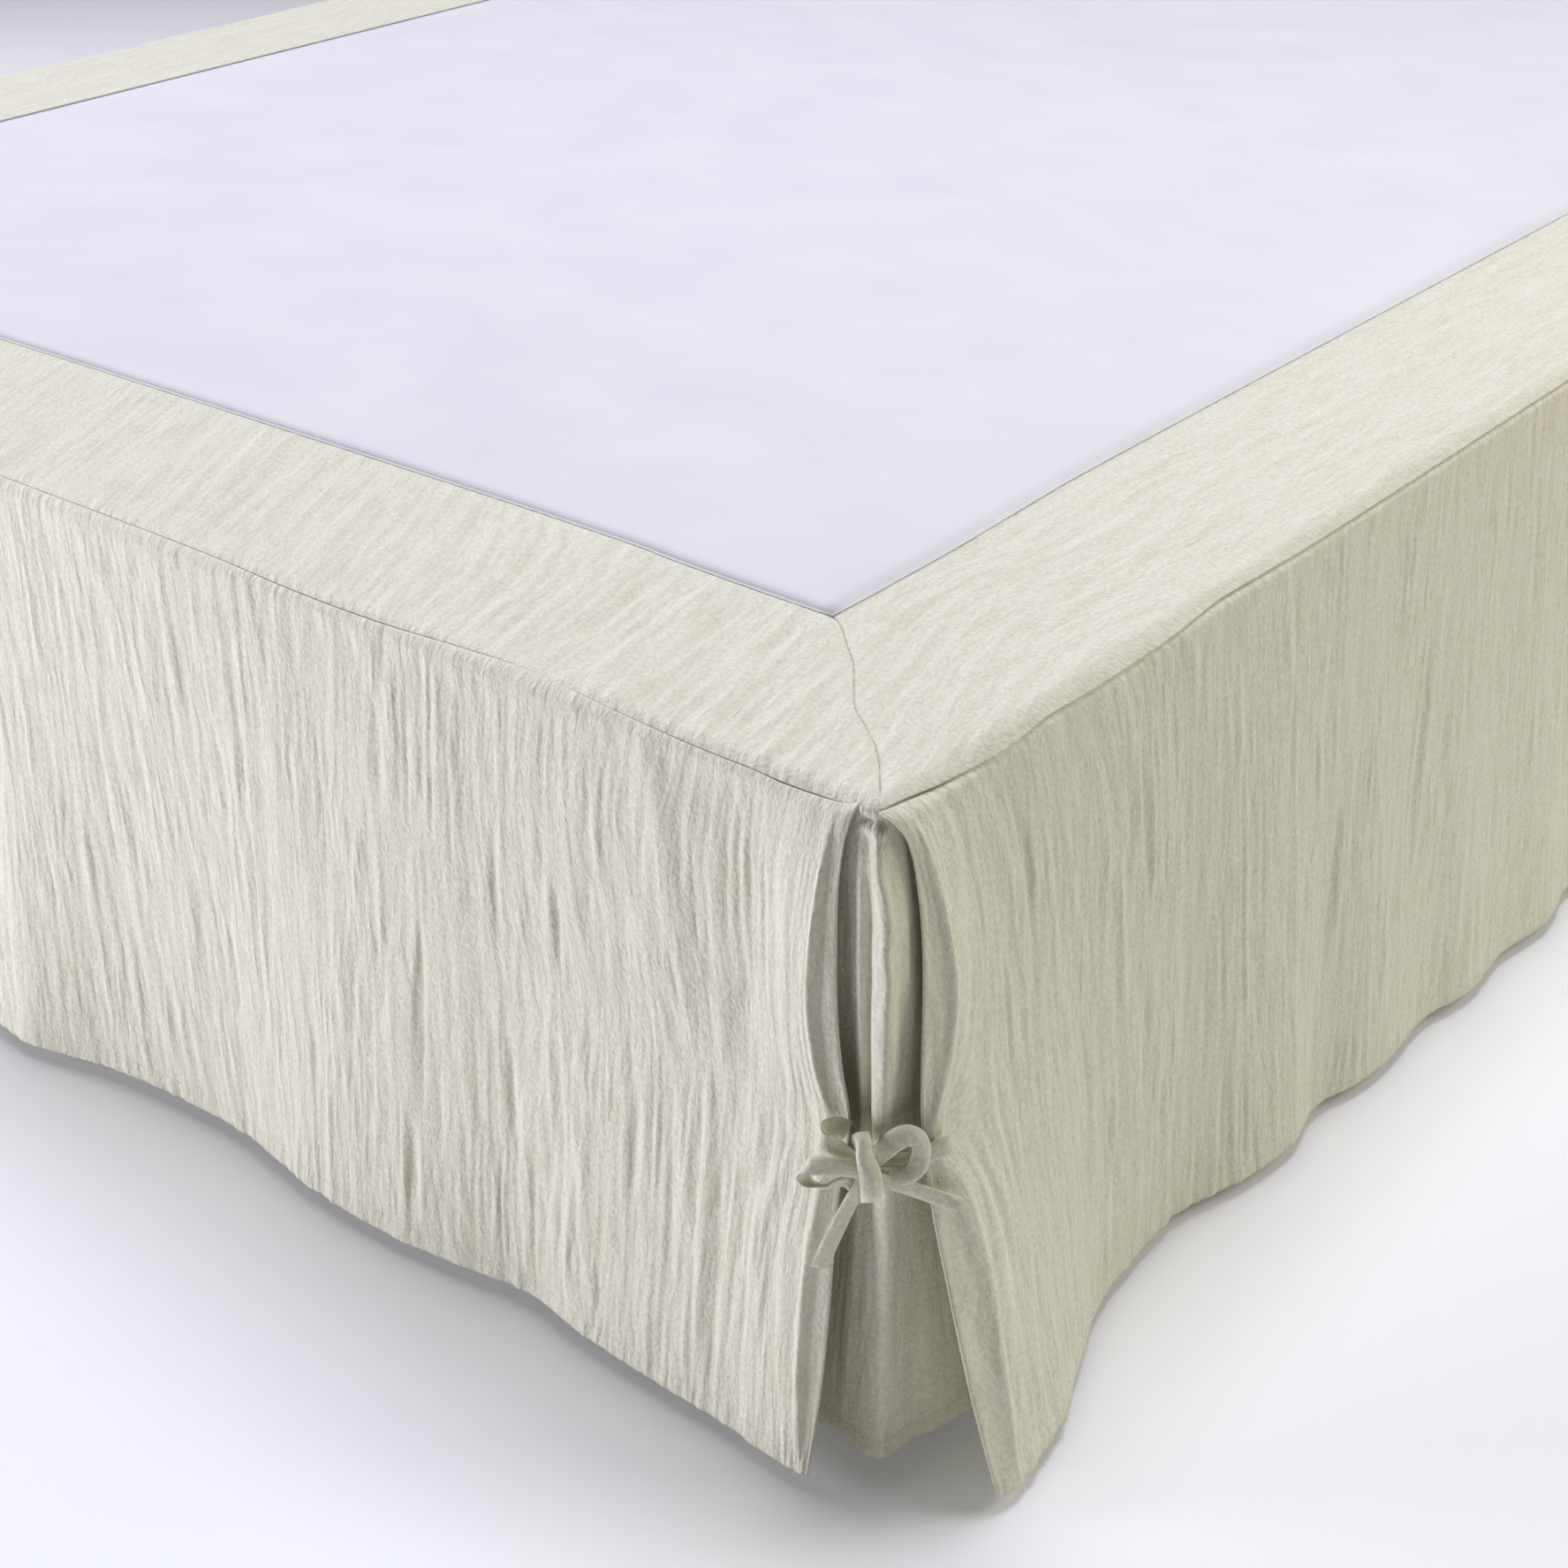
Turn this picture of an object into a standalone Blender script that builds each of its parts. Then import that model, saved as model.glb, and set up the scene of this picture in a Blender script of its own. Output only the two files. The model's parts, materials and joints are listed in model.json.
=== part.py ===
"""Bed skirt on a plain bed base.

A white decking lies on the base. A mitred band of crinkled cotton frames it, and a drop hangs from
each side of the band. At every corner the two drops part over an inverted pleat, and two sewn ties
draw them together in a bow. Metres, +Z up. The origin is on the floor under the middle of the bed,
+X to the right of someone at the foot, and +Y from the foot to the head.
"""

import math
import random
from collections import namedtuple

import bpy
from mathutils import Matrix, Vector

MM = 0.001

# ---------------------------------------------------------------- driving dimensions
BED_WIDTH = 1.600
BED_LENGTH = 2.000
DECK_HEIGHT = 0.410          # top face of the decking above the floor
DROP = 0.400                 # from that face down to the hem
BAND_WIDTH = 0.153           # from the bed's edge to the decking's seam

CLOTH = 1.5 * MM             # crinkled double layer of cotton with its loft
GAP = 0.3 * MM               # between two pieces that meet
SHOULDER = 6 * MM            # how tightly the cloth turns over the bed's edge
BASE_INSET = 7 * MM          # the base's side behind the bed's edge, clear of the pleats
BASE_THICK = 0.190
BASE_ROUND = 5 * MM
BASE_ROUND_STEPS = 2
FOOT_TOP_RADIUS = 32 * MM
FOOT_BOTTOM_RADIUS = 26 * MM
FOOT_SIDES = 16
FOOT_INSET = 0.110
FOOT_SHARP = math.radians(40)

FLARE = 36 * MM              # how far a hem hangs outside the bed's edge, on average
FLARE_POWER = 1.1            # the skirt leans out almost evenly,
FOLD_POWER = 1.8             # and its folds die away upwards
FOLD_PITCH = 60 * MM         # folds along the middle of a side
FOLD_SEED = 7
FLAP = 84 * MM               # cloth beside a corner that the ties pull about
RIDGE = 17 * MM              # cloth between a flap's edge and its ridge
PLEAT_TOP = 8 * MM           # depth at which the pleat's legs are caught
SEAM_CLEAR_TURN = 12         # degrees of turn over the edge between a band and its drop
EDGE_TURNS = [60, 90]        # degrees of turn at which a drop has a row of points
BAND_TURNS = [0, 30, 60, 85]
BAND_PIECES = 8              # faces along a band
DECK_PIECES = 4              # faces across the decking
MITRE_CLEAR = 8.4 * MM       # stretch inside the edge where a mitre opens by the cloth's thickness
COLUMN_CLEAR = 12 * MM       # between a flap's last column and the next fold's
LAST_KNOT = 1.4              # of a flap's width: where its curve has joined the plain drop
CORNER_REACH = 1.5           # of a flap's width: where a side's folds reach their own liveliness
MID_LEAN = 5 * MM            # how much further out the middle of a side hangs
MID_SWING = (2, 9)           # least and most swing of its folds, in mm

# Depths below the decking at which every drop is worked out.
DEPTHS = [0.022, 0.048, 0.080, 0.112, 0.146, 0.172, 0.194, 0.222, 0.270, 0.335, 0.400]
# Cloth between a flap's edge and each of its columns.
FLAP_COLUMNS = [0.0, 0.008, 0.017, 0.026, 0.038, 0.054, 0.070, 0.084]

# A fold of the hem: how far along from its corner, and how far outside the bed's edge.
Fold = namedtuple("Fold", "along out")
FOLDS_AFTER_CORNER = [Fold(a * MM, o * MM) for a, o in [
    (24, 71), (44, 67), (66, 67), (86, 60), (123, 44), (158, 29), (179, 23), (225, 17), (270, 15),
    (302, 22), (334, 31), (382, 35), (422, 27), (454, 34), (490, 39), (555, 35), (606, 44),
    (662, 40), (720, 46),
]]
FOLDS_BEFORE_CORNER = [Fold(a * MM, o * MM) for a, o in [
    (26, 42), (60, 40), (96, 38), (161, 36), (206, 32), (247, 27), (297, 34), (359, 41), (425, 39),
    (464, 33), (503, 27), (572, 29), (623, 34), (665, 44), (708, 53),
]]

# A flap beside a corner, by depth: where its free edge hangs, and the ridge where the cloth turns in.
Flap = namedtuple("Flap", "depth edge_along edge_out ridge_along ridge_out")
FLAP_AFTER_CORNER = [Flap(*(n * MM for n in row)) for row in [
    (0, 3.2, -0.5, 15.0, -0.5),
    (22, 12.5, 4.5, 20.5, 7.0),
    (48, 16.0, 7.5, 26.0, 12.0),
    (80, 15.5, 11.0, 29.5, 17.0),
    (112, 12.0, 14.0, 28.5, 21.5),
    (146, 5.5, 18.0, 19.0, 24.5),
    (172, 2.5, 21.0, 8.0, 26.5),
    (194, 2.5, 23.5, 10.5, 29.5),
    (222, 1.5, 28.5, 20.5, 36.0),
    (270, 1.5, 39.5, 25.0, 47.0),
    (335, 2.0, 54.5, 22.5, 61.5),
    (400, 9.0, 68.0, 24.0, 71.5),
]]
FLAP_BEFORE_CORNER = [Flap(*(n * MM for n in row)) for row in [
    (0, 12.5, -0.5, 26.0, -0.5),
    (22, 19.5, 3.6, 28.0, 6.5),
    (48, 22.0, 6.4, 31.0, 11.5),
    (80, 21.8, 8.8, 33.0, 15.5),
    (112, 20.6, 10.8, 34.0, 17.8),
    (146, 16.0, 13.0, 28.5, 19.8),
    (172, 9.5, 15.2, 21.5, 20.2),
    (194, 11.0, 17.2, 21.0, 21.5),
    (222, 14.0, 20.0, 23.5, 25.5),
    (270, 14.5, 25.3, 27.0, 32.0),
    (335, 16.3, 32.5, 28.3, 38.8),
    (400, 21.5, 40.3, 27.5, 42.5),
]]

# The pleat's folds, in plan from the bed's corner: x out of the side after the corner, y along it.
# Each fold is given where it is caught, and at five depths down to the pleat's own hem.
PLEAT_DEPTHS = [PLEAT_TOP, 0.034, 0.110, 0.184, 0.260, 0.394]
Pleat = namedtuple("Pleat", "fold caught high middle tied low hem")
PLEAT_FOLDS = [
    Pleat("leg before", (-80, 2.6), (-80, 1.8), (-80, -1.0), (-80, -3.0), (-80, -5.0), (-80, -8.0)),
    Pleat("run before", (-52, 2.6), (-52, 1.4), (-52, -2.5), (-50, -4.5), (-52, -6.0), (-54, -9.0)),
    Pleat("recess before", (-28, 2.8), (-29, 1.0), (-31, -1.5), (-26, -2.5), (-32, -4.0), (-38, -10)),
    Pleat("small ridge", (-15, 2.4), (-17, -2.0), (-18, -7.0), (-13, -7.5), (-18, -10), (-21, -16)),
    Pleat("small valley", (-9, 1.5), (-10, -3.0), (-10, -7.5), (-6, -8.0), (-9, -11), (-9, -15.5)),
    Pleat("main ridge", (-2, 0.5), (-1, -7.0), (2, -12.5), (2, -12.5), (3, -14), (1, -14.5)),
    Pleat("shaded side", (-0.5, 4), (4, 0), (8, -4.5), (7.5, -4.5), (9, -4.5), (7, -4)),
    Pleat("turn", (-1.5, 12), (3.5, 11), (8, 9), (7.5, 9), (9, 11), (9, 18)),
    Pleat("recess after", (-2.6, 24), (1, 23), (4.5, 22), (6, 24), (8, 27), (13, 34)),
    Pleat("run after", (-2.6, 46), (-0.6, 46), (3.5, 46), (7, 47), (11, 48), (20, 50)),
    Pleat("leg after", (-2.6, 80), (-0.6, 80), (3, 80), (6, 80), (10, 80), (18, 82)),
]

# The bow: its knot in plan from the bed's corner and its depth, as a pleat's fold is given.
KNOT_X = 5 * MM
KNOT_Y = -21 * MM
KNOT_DEPTH = 0.190
TIE_THICK = 1.5 * MM
TIE_STEP = 4.8 * MM
TIE_SECTION = [(1, 0), (0.6, 1), (-0.6, 1), (-1, 0), (-0.6, -1), (0.6, -1)]   # across, through

# A tie's route through the bow, seen from in front of the corner: across to the right, out towards
# the viewer and up from the knot's middle, the tie's width there, and the way its width points.
UP = Vector((0, 0, 1))
OUT = Vector((0, 1, 0))
ACROSS = Vector((1, 0, 0))
Bend = namedtuple("Bend", "across out up width points")
TIE_BEFORE = [
    Bend(-9.0, -12.4, 15.5, 7.5, UP),
    Bend(-14.5, -13.0, 16.0, 8, UP),
    Bend(-20.0, -9.2, 15.5, 8, UP),
    Bend(-18.5, -4.2, 13.5, 7.5, UP),
    Bend(-12.5, -3.0, 9.5, 7, UP + 0.2 * ACROSS),
    Bend(-6.5, -2.6, 4.5, 6.5, UP + 0.4 * ACROSS),
    Bend(0.0, -2.4, 0.5, 6, UP),
    Bend(5.0, -2.2, -1.5, 6.5, UP + 0.2 * OUT),
    Bend(10.5, -1.2, -2.0, 7, UP + OUT),
    Bend(17.0, 0.5, -0.5, 8, OUT + 0.4 * UP),
    Bend(22.5, 1.0, 5.0, 8.5, OUT),
    Bend(24.5, 1.0, 12.0, 8.5, OUT - 0.3 * UP),
    Bend(21.0, 1.0, 17.5, 8.5, OUT - 0.5 * UP),
    Bend(14.5, 1.5, 17.5, 8.5, OUT - 0.4 * UP),
    Bend(8.5, 1.6, 12.0, 7.5, OUT),
    Bend(4.2, 1.0, 5.5, 6.5, OUT + 0.7 * ACROSS),
    Bend(0.0, 0.6, -0.5, 6, ACROSS - 0.7 * UP),
    Bend(-4.2, 1.0, -6.5, 6.5, ACROSS - 0.5 * UP),
    Bend(-8.0, 0.5, -14.0, 8, ACROSS - 0.4 * UP),
    Bend(-12.0, -1.0, -24.0, 8.5, ACROSS - 0.4 * UP),
    Bend(-16.0, -2.5, -36.0, 8.5, ACROSS - 0.4 * UP),
    Bend(-20.0, -4.0, -48.0, 8.5, ACROSS - 0.4 * UP),
]
TIE_AFTER = [
    Bend(37.0, -2.2, 10.0, 7.5, UP),
    Bend(30.5, -2.0, 5.5, 8, UP),
    Bend(23.0, -4.0, 2.5, 7.5, UP),
    Bend(15.0, -5.4, 0.8, 7, UP),
    Bend(8.0, -5.7, -0.5, 6.5, UP + 0.3 * ACROSS),
    Bend(2.0, -5.6, 2.5, 6, UP + ACROSS),
    Bend(-1.6, -5.4, 8.0, 6, ACROSS + 0.3 * UP),
    Bend(-2.0, -3.0, 14.0, 6.5, ACROSS),
    Bend(-1.5, 1.4, 16.5, 6.5, ACROSS),
    Bend(-0.6, 5.2, 12.5, 5.5, ACROSS),
    Bend(0.2, 6.6, 5.5, 8, ACROSS),
    Bend(0.6, 6.8, -2.0, 9, ACROSS),
    Bend(0.8, 5.8, -9.5, 8, ACROSS),
    Bend(0.4, 3.0, -15.5, 7, ACROSS),
    Bend(-1.2, -1.6, -18.0, 6.5, ACROSS + 0.15 * UP),
    Bend(-5.5, -4.4, -13.5, 6.5, ACROSS + 0.8 * UP),
    Bend(-11.0, -2.6, -8.5, 7, UP + 0.6 * OUT),
    Bend(-17.5, -0.2, -8.5, 8, OUT + 0.4 * UP),
    Bend(-24.5, 1.2, -8.5, 8.5, OUT),
    Bend(-30.0, 2.0, -4.5, 8.5, OUT),
    Bend(-30.5, 2.4, 2.5, 8.5, OUT),
    Bend(-25.5, 2.8, 7.5, 8.5, OUT - 0.3 * UP),
    Bend(-18.0, 3.2, 8.5, 8, OUT - 0.3 * UP),
    Bend(-11.0, 3.5, 6.0, 7, OUT + 0.3 * UP),
    Bend(-5.5, 3.6, 2.5, 6.5, UP + OUT),
    Bend(0.0, 3.6, -0.5, 6, UP),
    Bend(5.5, 3.4, -3.5, 6.5, UP),
    Bend(12.0, 3.2, -6.0, 7, UP + 0.2 * ACROSS),
    Bend(20.0, 3.2, -8.5, 7.5, UP + 0.3 * ACROSS),
    Bend(30.0, 3.6, -12.5, 7.5, UP + 0.4 * ACROSS),
    Bend(41.0, 4.0, -16.5, 7, UP + 0.4 * ACROSS),
]

# A side of the bed: its length, how strongly its folds show, and where the band's seam runs, as a
# turn of the cloth over the bed's edge in degrees (30 is on top, 85 down on the side).
Side = namedtuple("Side", "name heading length liveliness seam_turn")
SIDES = [
    Side("foot", 0, BED_WIDTH, 1.0, 30),
    Side("right", 90, BED_LENGTH, 1.0, 85),
    Side("head", 180, BED_WIDTH, 0.8, 30),
    Side("left", 270, BED_LENGTH, 1.15, 85),
]

Finish = namedtuple("Finish", "color roughness")
FINISHES = {
    "gauze": Finish((0.66, 0.65, 0.56), 0.95),
    "decking": Finish((0.80, 0.81, 0.86), 0.90),
    "base": Finish((0.62, 0.60, 0.56), 0.90),
    "wood": Finish((0.45, 0.32, 0.20), 0.60),
}


# ---------------------------------------------------------------- helpers
def material(name):
    """The finish of that name as a material, made once."""
    found = bpy.data.materials.get(name)
    if found:
        return found
    made = bpy.data.materials.new(name)
    made.use_nodes = True
    shader = made.node_tree.nodes["Principled BSDF"]
    shader.inputs["Base Color"].default_value = (*FINISHES[name].color, 1)
    shader.inputs["Roughness"].default_value = FINISHES[name].roughness
    return made


def add_mesh(name, points, faces, finish):
    """One named object in the scene, with its finish."""
    mesh = bpy.data.meshes.new(name)
    mesh.from_pydata([tuple(p) for p in points], [], faces)
    mesh.materials.append(material(finish))
    made = bpy.data.objects.new(name, mesh)
    bpy.context.collection.objects.link(made)
    return made


def add_sheet(name, rows, finish, outward):
    """A sheet of cloth whose outer face has those rows of points, thickened inwards.

    outward is a rough direction out of the first face, so that the faces can be turned to it."""
    wide = len(rows[0])
    points = [p for row in rows for p in row]
    faces = []
    for r in range(len(rows) - 1):
        for c in range(wide - 1):
            a = r * wide + c
            faces.append((a, a + 1, a + wide + 1, a + wide))
    made = add_mesh(name, points, faces, finish)
    made.data.update()
    if made.data.polygons[0].normal.dot(outward) < 0:
        made.data.flip_normals()
    made.data.shade_smooth()
    thick = made.modifiers.new("Thickness", "SOLIDIFY")
    thick.thickness = CLOTH
    thick.offset = -1
    thick.use_even_offset = True
    thick.use_rim = True
    shading = made.modifiers.new("Shading", "WEIGHTED_NORMAL")
    shading.mode = "FACE_AREA"
    return made


def curve_through(rows, at):
    """A smooth curve through rows of (position, value), where value is a number or a vector."""
    if at <= rows[0][0]:
        return rows[0][1]
    if at >= rows[-1][0]:
        return rows[-1][1]
    i = next(n for n in range(1, len(rows)) if rows[n][0] >= at) - 1
    before, start = rows[max(i - 1, 0)], rows[i]
    end, after = rows[i + 1], rows[min(i + 2, len(rows) - 1)]
    span = end[0] - start[0]
    t = (at - start[0]) / span
    slope_in = (end[1] - before[1]) * (span / (end[0] - before[0]))
    slope_out = (after[1] - start[1]) * (span / (after[0] - start[0]))
    return (
        start[1] * (2 * t**3 - 3 * t**2 + 1)
        + slope_in * (t**3 - 2 * t**2 + t)
        + end[1] * (3 * t**2 - 2 * t**3)
        + slope_out * (t**3 - t**2)
    )


def side_frame(side):
    """The turn that carries a side's own frame (along, -out, height) to the bed."""
    depth_of_bed = BED_LENGTH if side.length == BED_WIDTH else BED_WIDTH
    return (
        Matrix.Rotation(math.radians(side.heading), 4, "Z")
        @ Matrix.Translation((-side.length / 2, -depth_of_bed / 2, DECK_HEIGHT))
    )


def on_side(side, along, out, depth):
    """A point of a side: along from its first corner, out of the bed, and down from the decking."""
    return side_frame(side) @ Vector((along, -out, -depth))


# ---------------------------------------------------------------- the drops
def hem_folds(side):
    """All folds of a side's hem, from its first corner to its last."""

    def livened(fold, along):
        own = min(fold.along / (CORNER_REACH * FLAP), 1.0)
        strength = 1 + (side.liveliness - 1) * own
        return (along, FLARE + (fold.out - FLARE) * strength)

    first = [livened(f, f.along) for f in FOLDS_AFTER_CORNER]
    last = [livened(f, side.length - f.along) for f in reversed(FOLDS_BEFORE_CORNER)]
    rng = random.Random(FOLD_SEED + side.heading)
    span = last[0][0] - first[-1][0]
    count = max(1, round(span / FOLD_PITCH))
    middle = []
    for n in range(1, count):
        swing = (-1) ** n * rng.uniform(*MID_SWING) * MM
        middle.append((first[-1][0] + span * n / count, FLARE + MID_LEAN + swing * side.liveliness))
    return first + middle + last


def lean(depth, hem_out):
    """How far a drop hangs out at a depth, where its hem hangs hem_out."""
    t = depth / DROP
    return FLARE * t**FLARE_POWER + (hem_out - FLARE) * t**FOLD_POWER


def flap_point(rows, cloth, depth, plain):
    """Plan point (along, out) of a flap, that much cloth in from its edge; plain gives the drop."""
    edge = curve_through([(r.depth, Vector((r.edge_along, r.edge_out))) for r in rows], depth)
    ridge = curve_through([(r.depth, Vector((r.ridge_along, r.ridge_out))) for r in rows], depth)
    knots = [
        (0.0, edge),
        (RIDGE, ridge),
        (FLAP, plain(FLAP, depth)),
        (FLAP * LAST_KNOT, plain(FLAP * LAST_KNOT, depth)),
    ]
    return curve_through(knots, cloth)


def drop_plan(side, folds, along, depth):
    """Plan point (along, out) of a drop's outer face, with its flaps at both ends."""

    def plain(a, d):
        return Vector((a, lean(d, curve_through(folds, a))))

    def plain_from_end(a, d):
        return Vector((a, lean(d, curve_through(folds, side.length - a))))

    if along < FLAP:
        return flap_point(FLAP_AFTER_CORNER, along, depth, plain)
    if along > side.length - FLAP:
        found = flap_point(FLAP_BEFORE_CORNER, side.length - along, depth, plain_from_end)
        return Vector((side.length - found.x, found.y))
    return plain(along, depth)


def drop_columns(side, folds):
    """Where a drop's columns lie along its cloth: its flaps' own, and one at every fold between."""
    first = FLAP_COLUMNS
    last = [side.length - c for c in reversed(FLAP_COLUMNS)]
    between = [a for a, _ in folds if first[-1] + COLUMN_CLEAR < a < last[0] - COLUMN_CLEAR]
    return first + between + last


def over_edge(turn):
    """(out, depth) of the cloth once it has turned that many degrees over the bed's edge."""
    angle = math.radians(turn)
    return SHOULDER * (math.sin(angle) - 1), SHOULDER * (1 - math.cos(angle))


def drop_levels(side):
    """(shoulder, depth) of a drop's rows: its turn over the bed's edge, then straight down."""
    first = side.seam_turn + SEAM_CLEAR_TURN
    turns = [turn for turn in (first, *EDGE_TURNS) if first <= turn <= EDGE_TURNS[-1]]
    over = [over_edge(turn) for turn in turns] or [(0.0, SHOULDER + GAP)]
    return over + [(0.0, depth) for depth in DEPTHS]


def add_drop(side):
    """A drop from the band's seam to its hem, with the folds of the hem and the flaps' shapes."""
    folds = hem_folds(side)
    columns = drop_columns(side, folds)
    rows = []
    for shoulder, depth in drop_levels(side):
        row = []
        for along in columns:
            plan = drop_plan(side, folds, along, depth)
            row.append(on_side(side, plan.x, plan.y + shoulder, depth))
        rows.append(row)
    outward = on_side(side, 0, 1, 0) - on_side(side, 0, 0, 0)
    return add_sheet(f"drop_{side.name}", rows, "gauze", outward)


# ---------------------------------------------------------------- the top
def add_band(side):
    """A mitred strip of the border, from the decking's seam to the drop's seam."""
    steps = [(-BAND_WIDTH, 0.0), (-BAND_WIDTH / 2, 0.0)]
    steps += [over_edge(turn) for turn in BAND_TURNS if turn <= side.seam_turn]
    rows = []
    for out, depth in steps:
        turned = max(0.0, 1 + out / MITRE_CLEAR)
        start = -out + GAP + turned * CLOTH
        span = side.length - 2 * start
        row = [on_side(side, start + span * n / BAND_PIECES, out, depth) for n in range(BAND_PIECES + 1)]
        rows.append(row)
    return add_sheet(f"band_{side.name}", rows, "gauze", Vector((0, 0, 1)))


def add_decking():
    """The white cloth that the band frames."""
    half_x = BED_WIDTH / 2 - BAND_WIDTH - GAP
    half_y = BED_LENGTH / 2 - BAND_WIDTH - GAP
    steps = [2 * n / DECK_PIECES - 1 for n in range(DECK_PIECES + 1)]
    rows = [[Vector((half_x * i, half_y * j, DECK_HEIGHT)) for i in steps] for j in steps]
    return add_sheet("decking", rows, "decking", Vector((0, 0, 1)))


# ---------------------------------------------------------------- the corners
def corner_frame(side):
    """The frame of the corner before a side: x out of that side, y along it, z up."""
    turn = Matrix.Rotation(math.radians(side.heading - 90), 4, "Z")
    return Matrix.Translation(on_side(side, 0, 0, 0)) @ turn


def add_pleat(side):
    """The inverted pleat behind a corner's flaps."""
    frame = corner_frame(side)
    rows = []
    for level, depth in enumerate(PLEAT_DEPTHS):
        places = [fold[level + 1] for fold in PLEAT_FOLDS]
        rows.append([frame @ Vector((x * MM, y * MM, -depth)) for x, y in places])
    outward = frame.to_3x3() @ Vector((0, -1, 0))
    return add_sheet(f"pleat_{side.name}", rows, "gauze", outward)


def tie_stations(bends):
    """Even stations along a smooth route through the bends: place, width and way of the width."""
    knots = [Vector((b.across, b.out, b.up)) * MM for b in bends]
    reach = [0.0]
    for a, b in zip(knots, knots[1:]):
        reach.append(reach[-1] + (b - a).length)
    count = round(reach[-1] / TIE_STEP)
    stations = []
    for n in range(count + 1):
        at = reach[-1] * n / count
        place = curve_through(list(zip(reach, knots)), at)
        width = curve_through([(r, b.width * MM) for r, b in zip(reach, bends)], at)
        points = curve_through([(r, b.points.normalized()) for r, b in zip(reach, bends)], at)
        stations.append((place, width, points))
    return stations


def add_tie(name, bends, frame):
    """A tie: a flat sewn tube that is sewn to a flap, runs through the bow and ends free."""
    stations = tie_stations(bends)
    rings = []
    for n, (place, width, points) in enumerate(stations):
        ahead = stations[min(n + 1, len(stations) - 1)][0] - stations[max(n - 1, 0)][0]
        ahead.normalize()
        half_wide = (points - ahead * points.dot(ahead)).normalized() * width / 2
        half_thick = ahead.cross(half_wide).normalized() * TIE_THICK / 2
        ring = [place + half_wide * a + half_thick * b for a, b in TIE_SECTION]
        rings.append([frame @ p for p in ring])
    around = len(TIE_SECTION)
    faces = [tuple(reversed(range(around)))]
    for r in range(len(rings) - 1):
        for k in range(around):
            a, b = r * around + k, r * around + (k + 1) % around
            faces.append((a, b, b + around, a + around))
    last = (len(rings) - 1) * around
    faces.append(tuple(last + k for k in range(around)))
    made = add_mesh(name, [p for ring in rings for p in ring], faces, "gauze")
    made.data.shade_smooth()
    return made


def add_bow(side):
    """The two ties of a corner, knotted in a bow over the pleat."""
    place = Matrix.Translation((KNOT_X, KNOT_Y, -KNOT_DEPTH))
    turn = Matrix.Rotation(math.radians(45), 4, "Z")
    face = Matrix.Scale(-1, 4, (0, 1, 0))
    frame = corner_frame(side) @ place @ turn @ face
    for name, bends in (("before", TIE_BEFORE), ("after", TIE_AFTER)):
        tie = add_tie(f"tie_{name}_{side.name}", bends, frame)
        tie.data.flip_normals()


# ---------------------------------------------------------------- the base
def add_box(name, low, high, rounding, finish):
    """A box between two corners, with rounded edges."""
    corners = [
        Vector((x, y, z)) for z in (low.z, high.z) for y in (low.y, high.y) for x in (low.x, high.x)
    ]
    faces = [(0, 2, 3, 1), (4, 5, 7, 6), (0, 1, 5, 4), (2, 6, 7, 3), (0, 4, 6, 2), (1, 3, 7, 5)]
    made = add_mesh(name, corners, faces, finish)
    bevel = made.modifiers.new("Rounding", "BEVEL")
    bevel.width = rounding
    bevel.segments = BASE_ROUND_STEPS
    bevel.limit_method = "ANGLE"
    return made


def add_foot(name, x, y, top):
    """A turned foot that tapers to the floor."""
    points = []
    for radius, z in ((FOOT_BOTTOM_RADIUS, 0.0), (FOOT_TOP_RADIUS, top)):
        for k in range(FOOT_SIDES):
            angle = 2 * math.pi * k / FOOT_SIDES
            points.append(Vector((x + radius * math.cos(angle), y + radius * math.sin(angle), z)))
    faces = [tuple(reversed(range(FOOT_SIDES))), tuple(range(FOOT_SIDES, 2 * FOOT_SIDES))]
    for k in range(FOOT_SIDES):
        after = (k + 1) % FOOT_SIDES
        faces.append((k, after, after + FOOT_SIDES, k + FOOT_SIDES))
    made = add_mesh(name, points, faces, "wood")
    made.data.shade_smooth()
    made.data.set_sharp_from_angle(angle=FOOT_SHARP)
    return made


def add_base():
    """The upholstered base that the skirt lies over, on six feet."""
    top = DECK_HEIGHT - CLOTH - GAP
    bottom = top - BASE_THICK
    half_x = BED_WIDTH / 2 - BASE_INSET
    half_y = BED_LENGTH / 2 - BASE_INSET
    low = Vector((-half_x, -half_y, bottom))
    high = Vector((half_x, half_y, top))
    add_box("bed_base", low, high, BASE_ROUND, "base")
    foot_x = half_x - FOOT_INSET
    for row, y in (("foot", FOOT_INSET - half_y), ("middle", 0.0), ("head", half_y - FOOT_INSET)):
        for hand, x in (("left", -foot_x), ("right", foot_x)):
            add_foot(f"leg_{row}_{hand}", x, y, bottom - GAP)


def main():
    for old in list(bpy.data.objects):
        bpy.data.objects.remove(old)
    add_base()
    add_decking()
    for side in SIDES:
        add_band(side)
        add_drop(side)
        add_pleat(side)
        add_bow(side)


main()
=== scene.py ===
# %% [markdown]
# # A bed skirt with tied corners
# A bed skirt hides the base of a bed. Under the mattress it is a white decking with a border of
# crinkled cotton gauze, and a drop of the same gauze hangs from each side of the border. At every
# corner two drops part over an inverted pleat, and a pair of sewn ties draws them together.
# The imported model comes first: its solids hold each piece's true place and folds, and every piece
# below is a finer cloth laid on the same folds.

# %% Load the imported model
import json
import math
import random
from collections import namedtuple

import bpy
import numpy as np
from mathutils import Matrix, Vector

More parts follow.
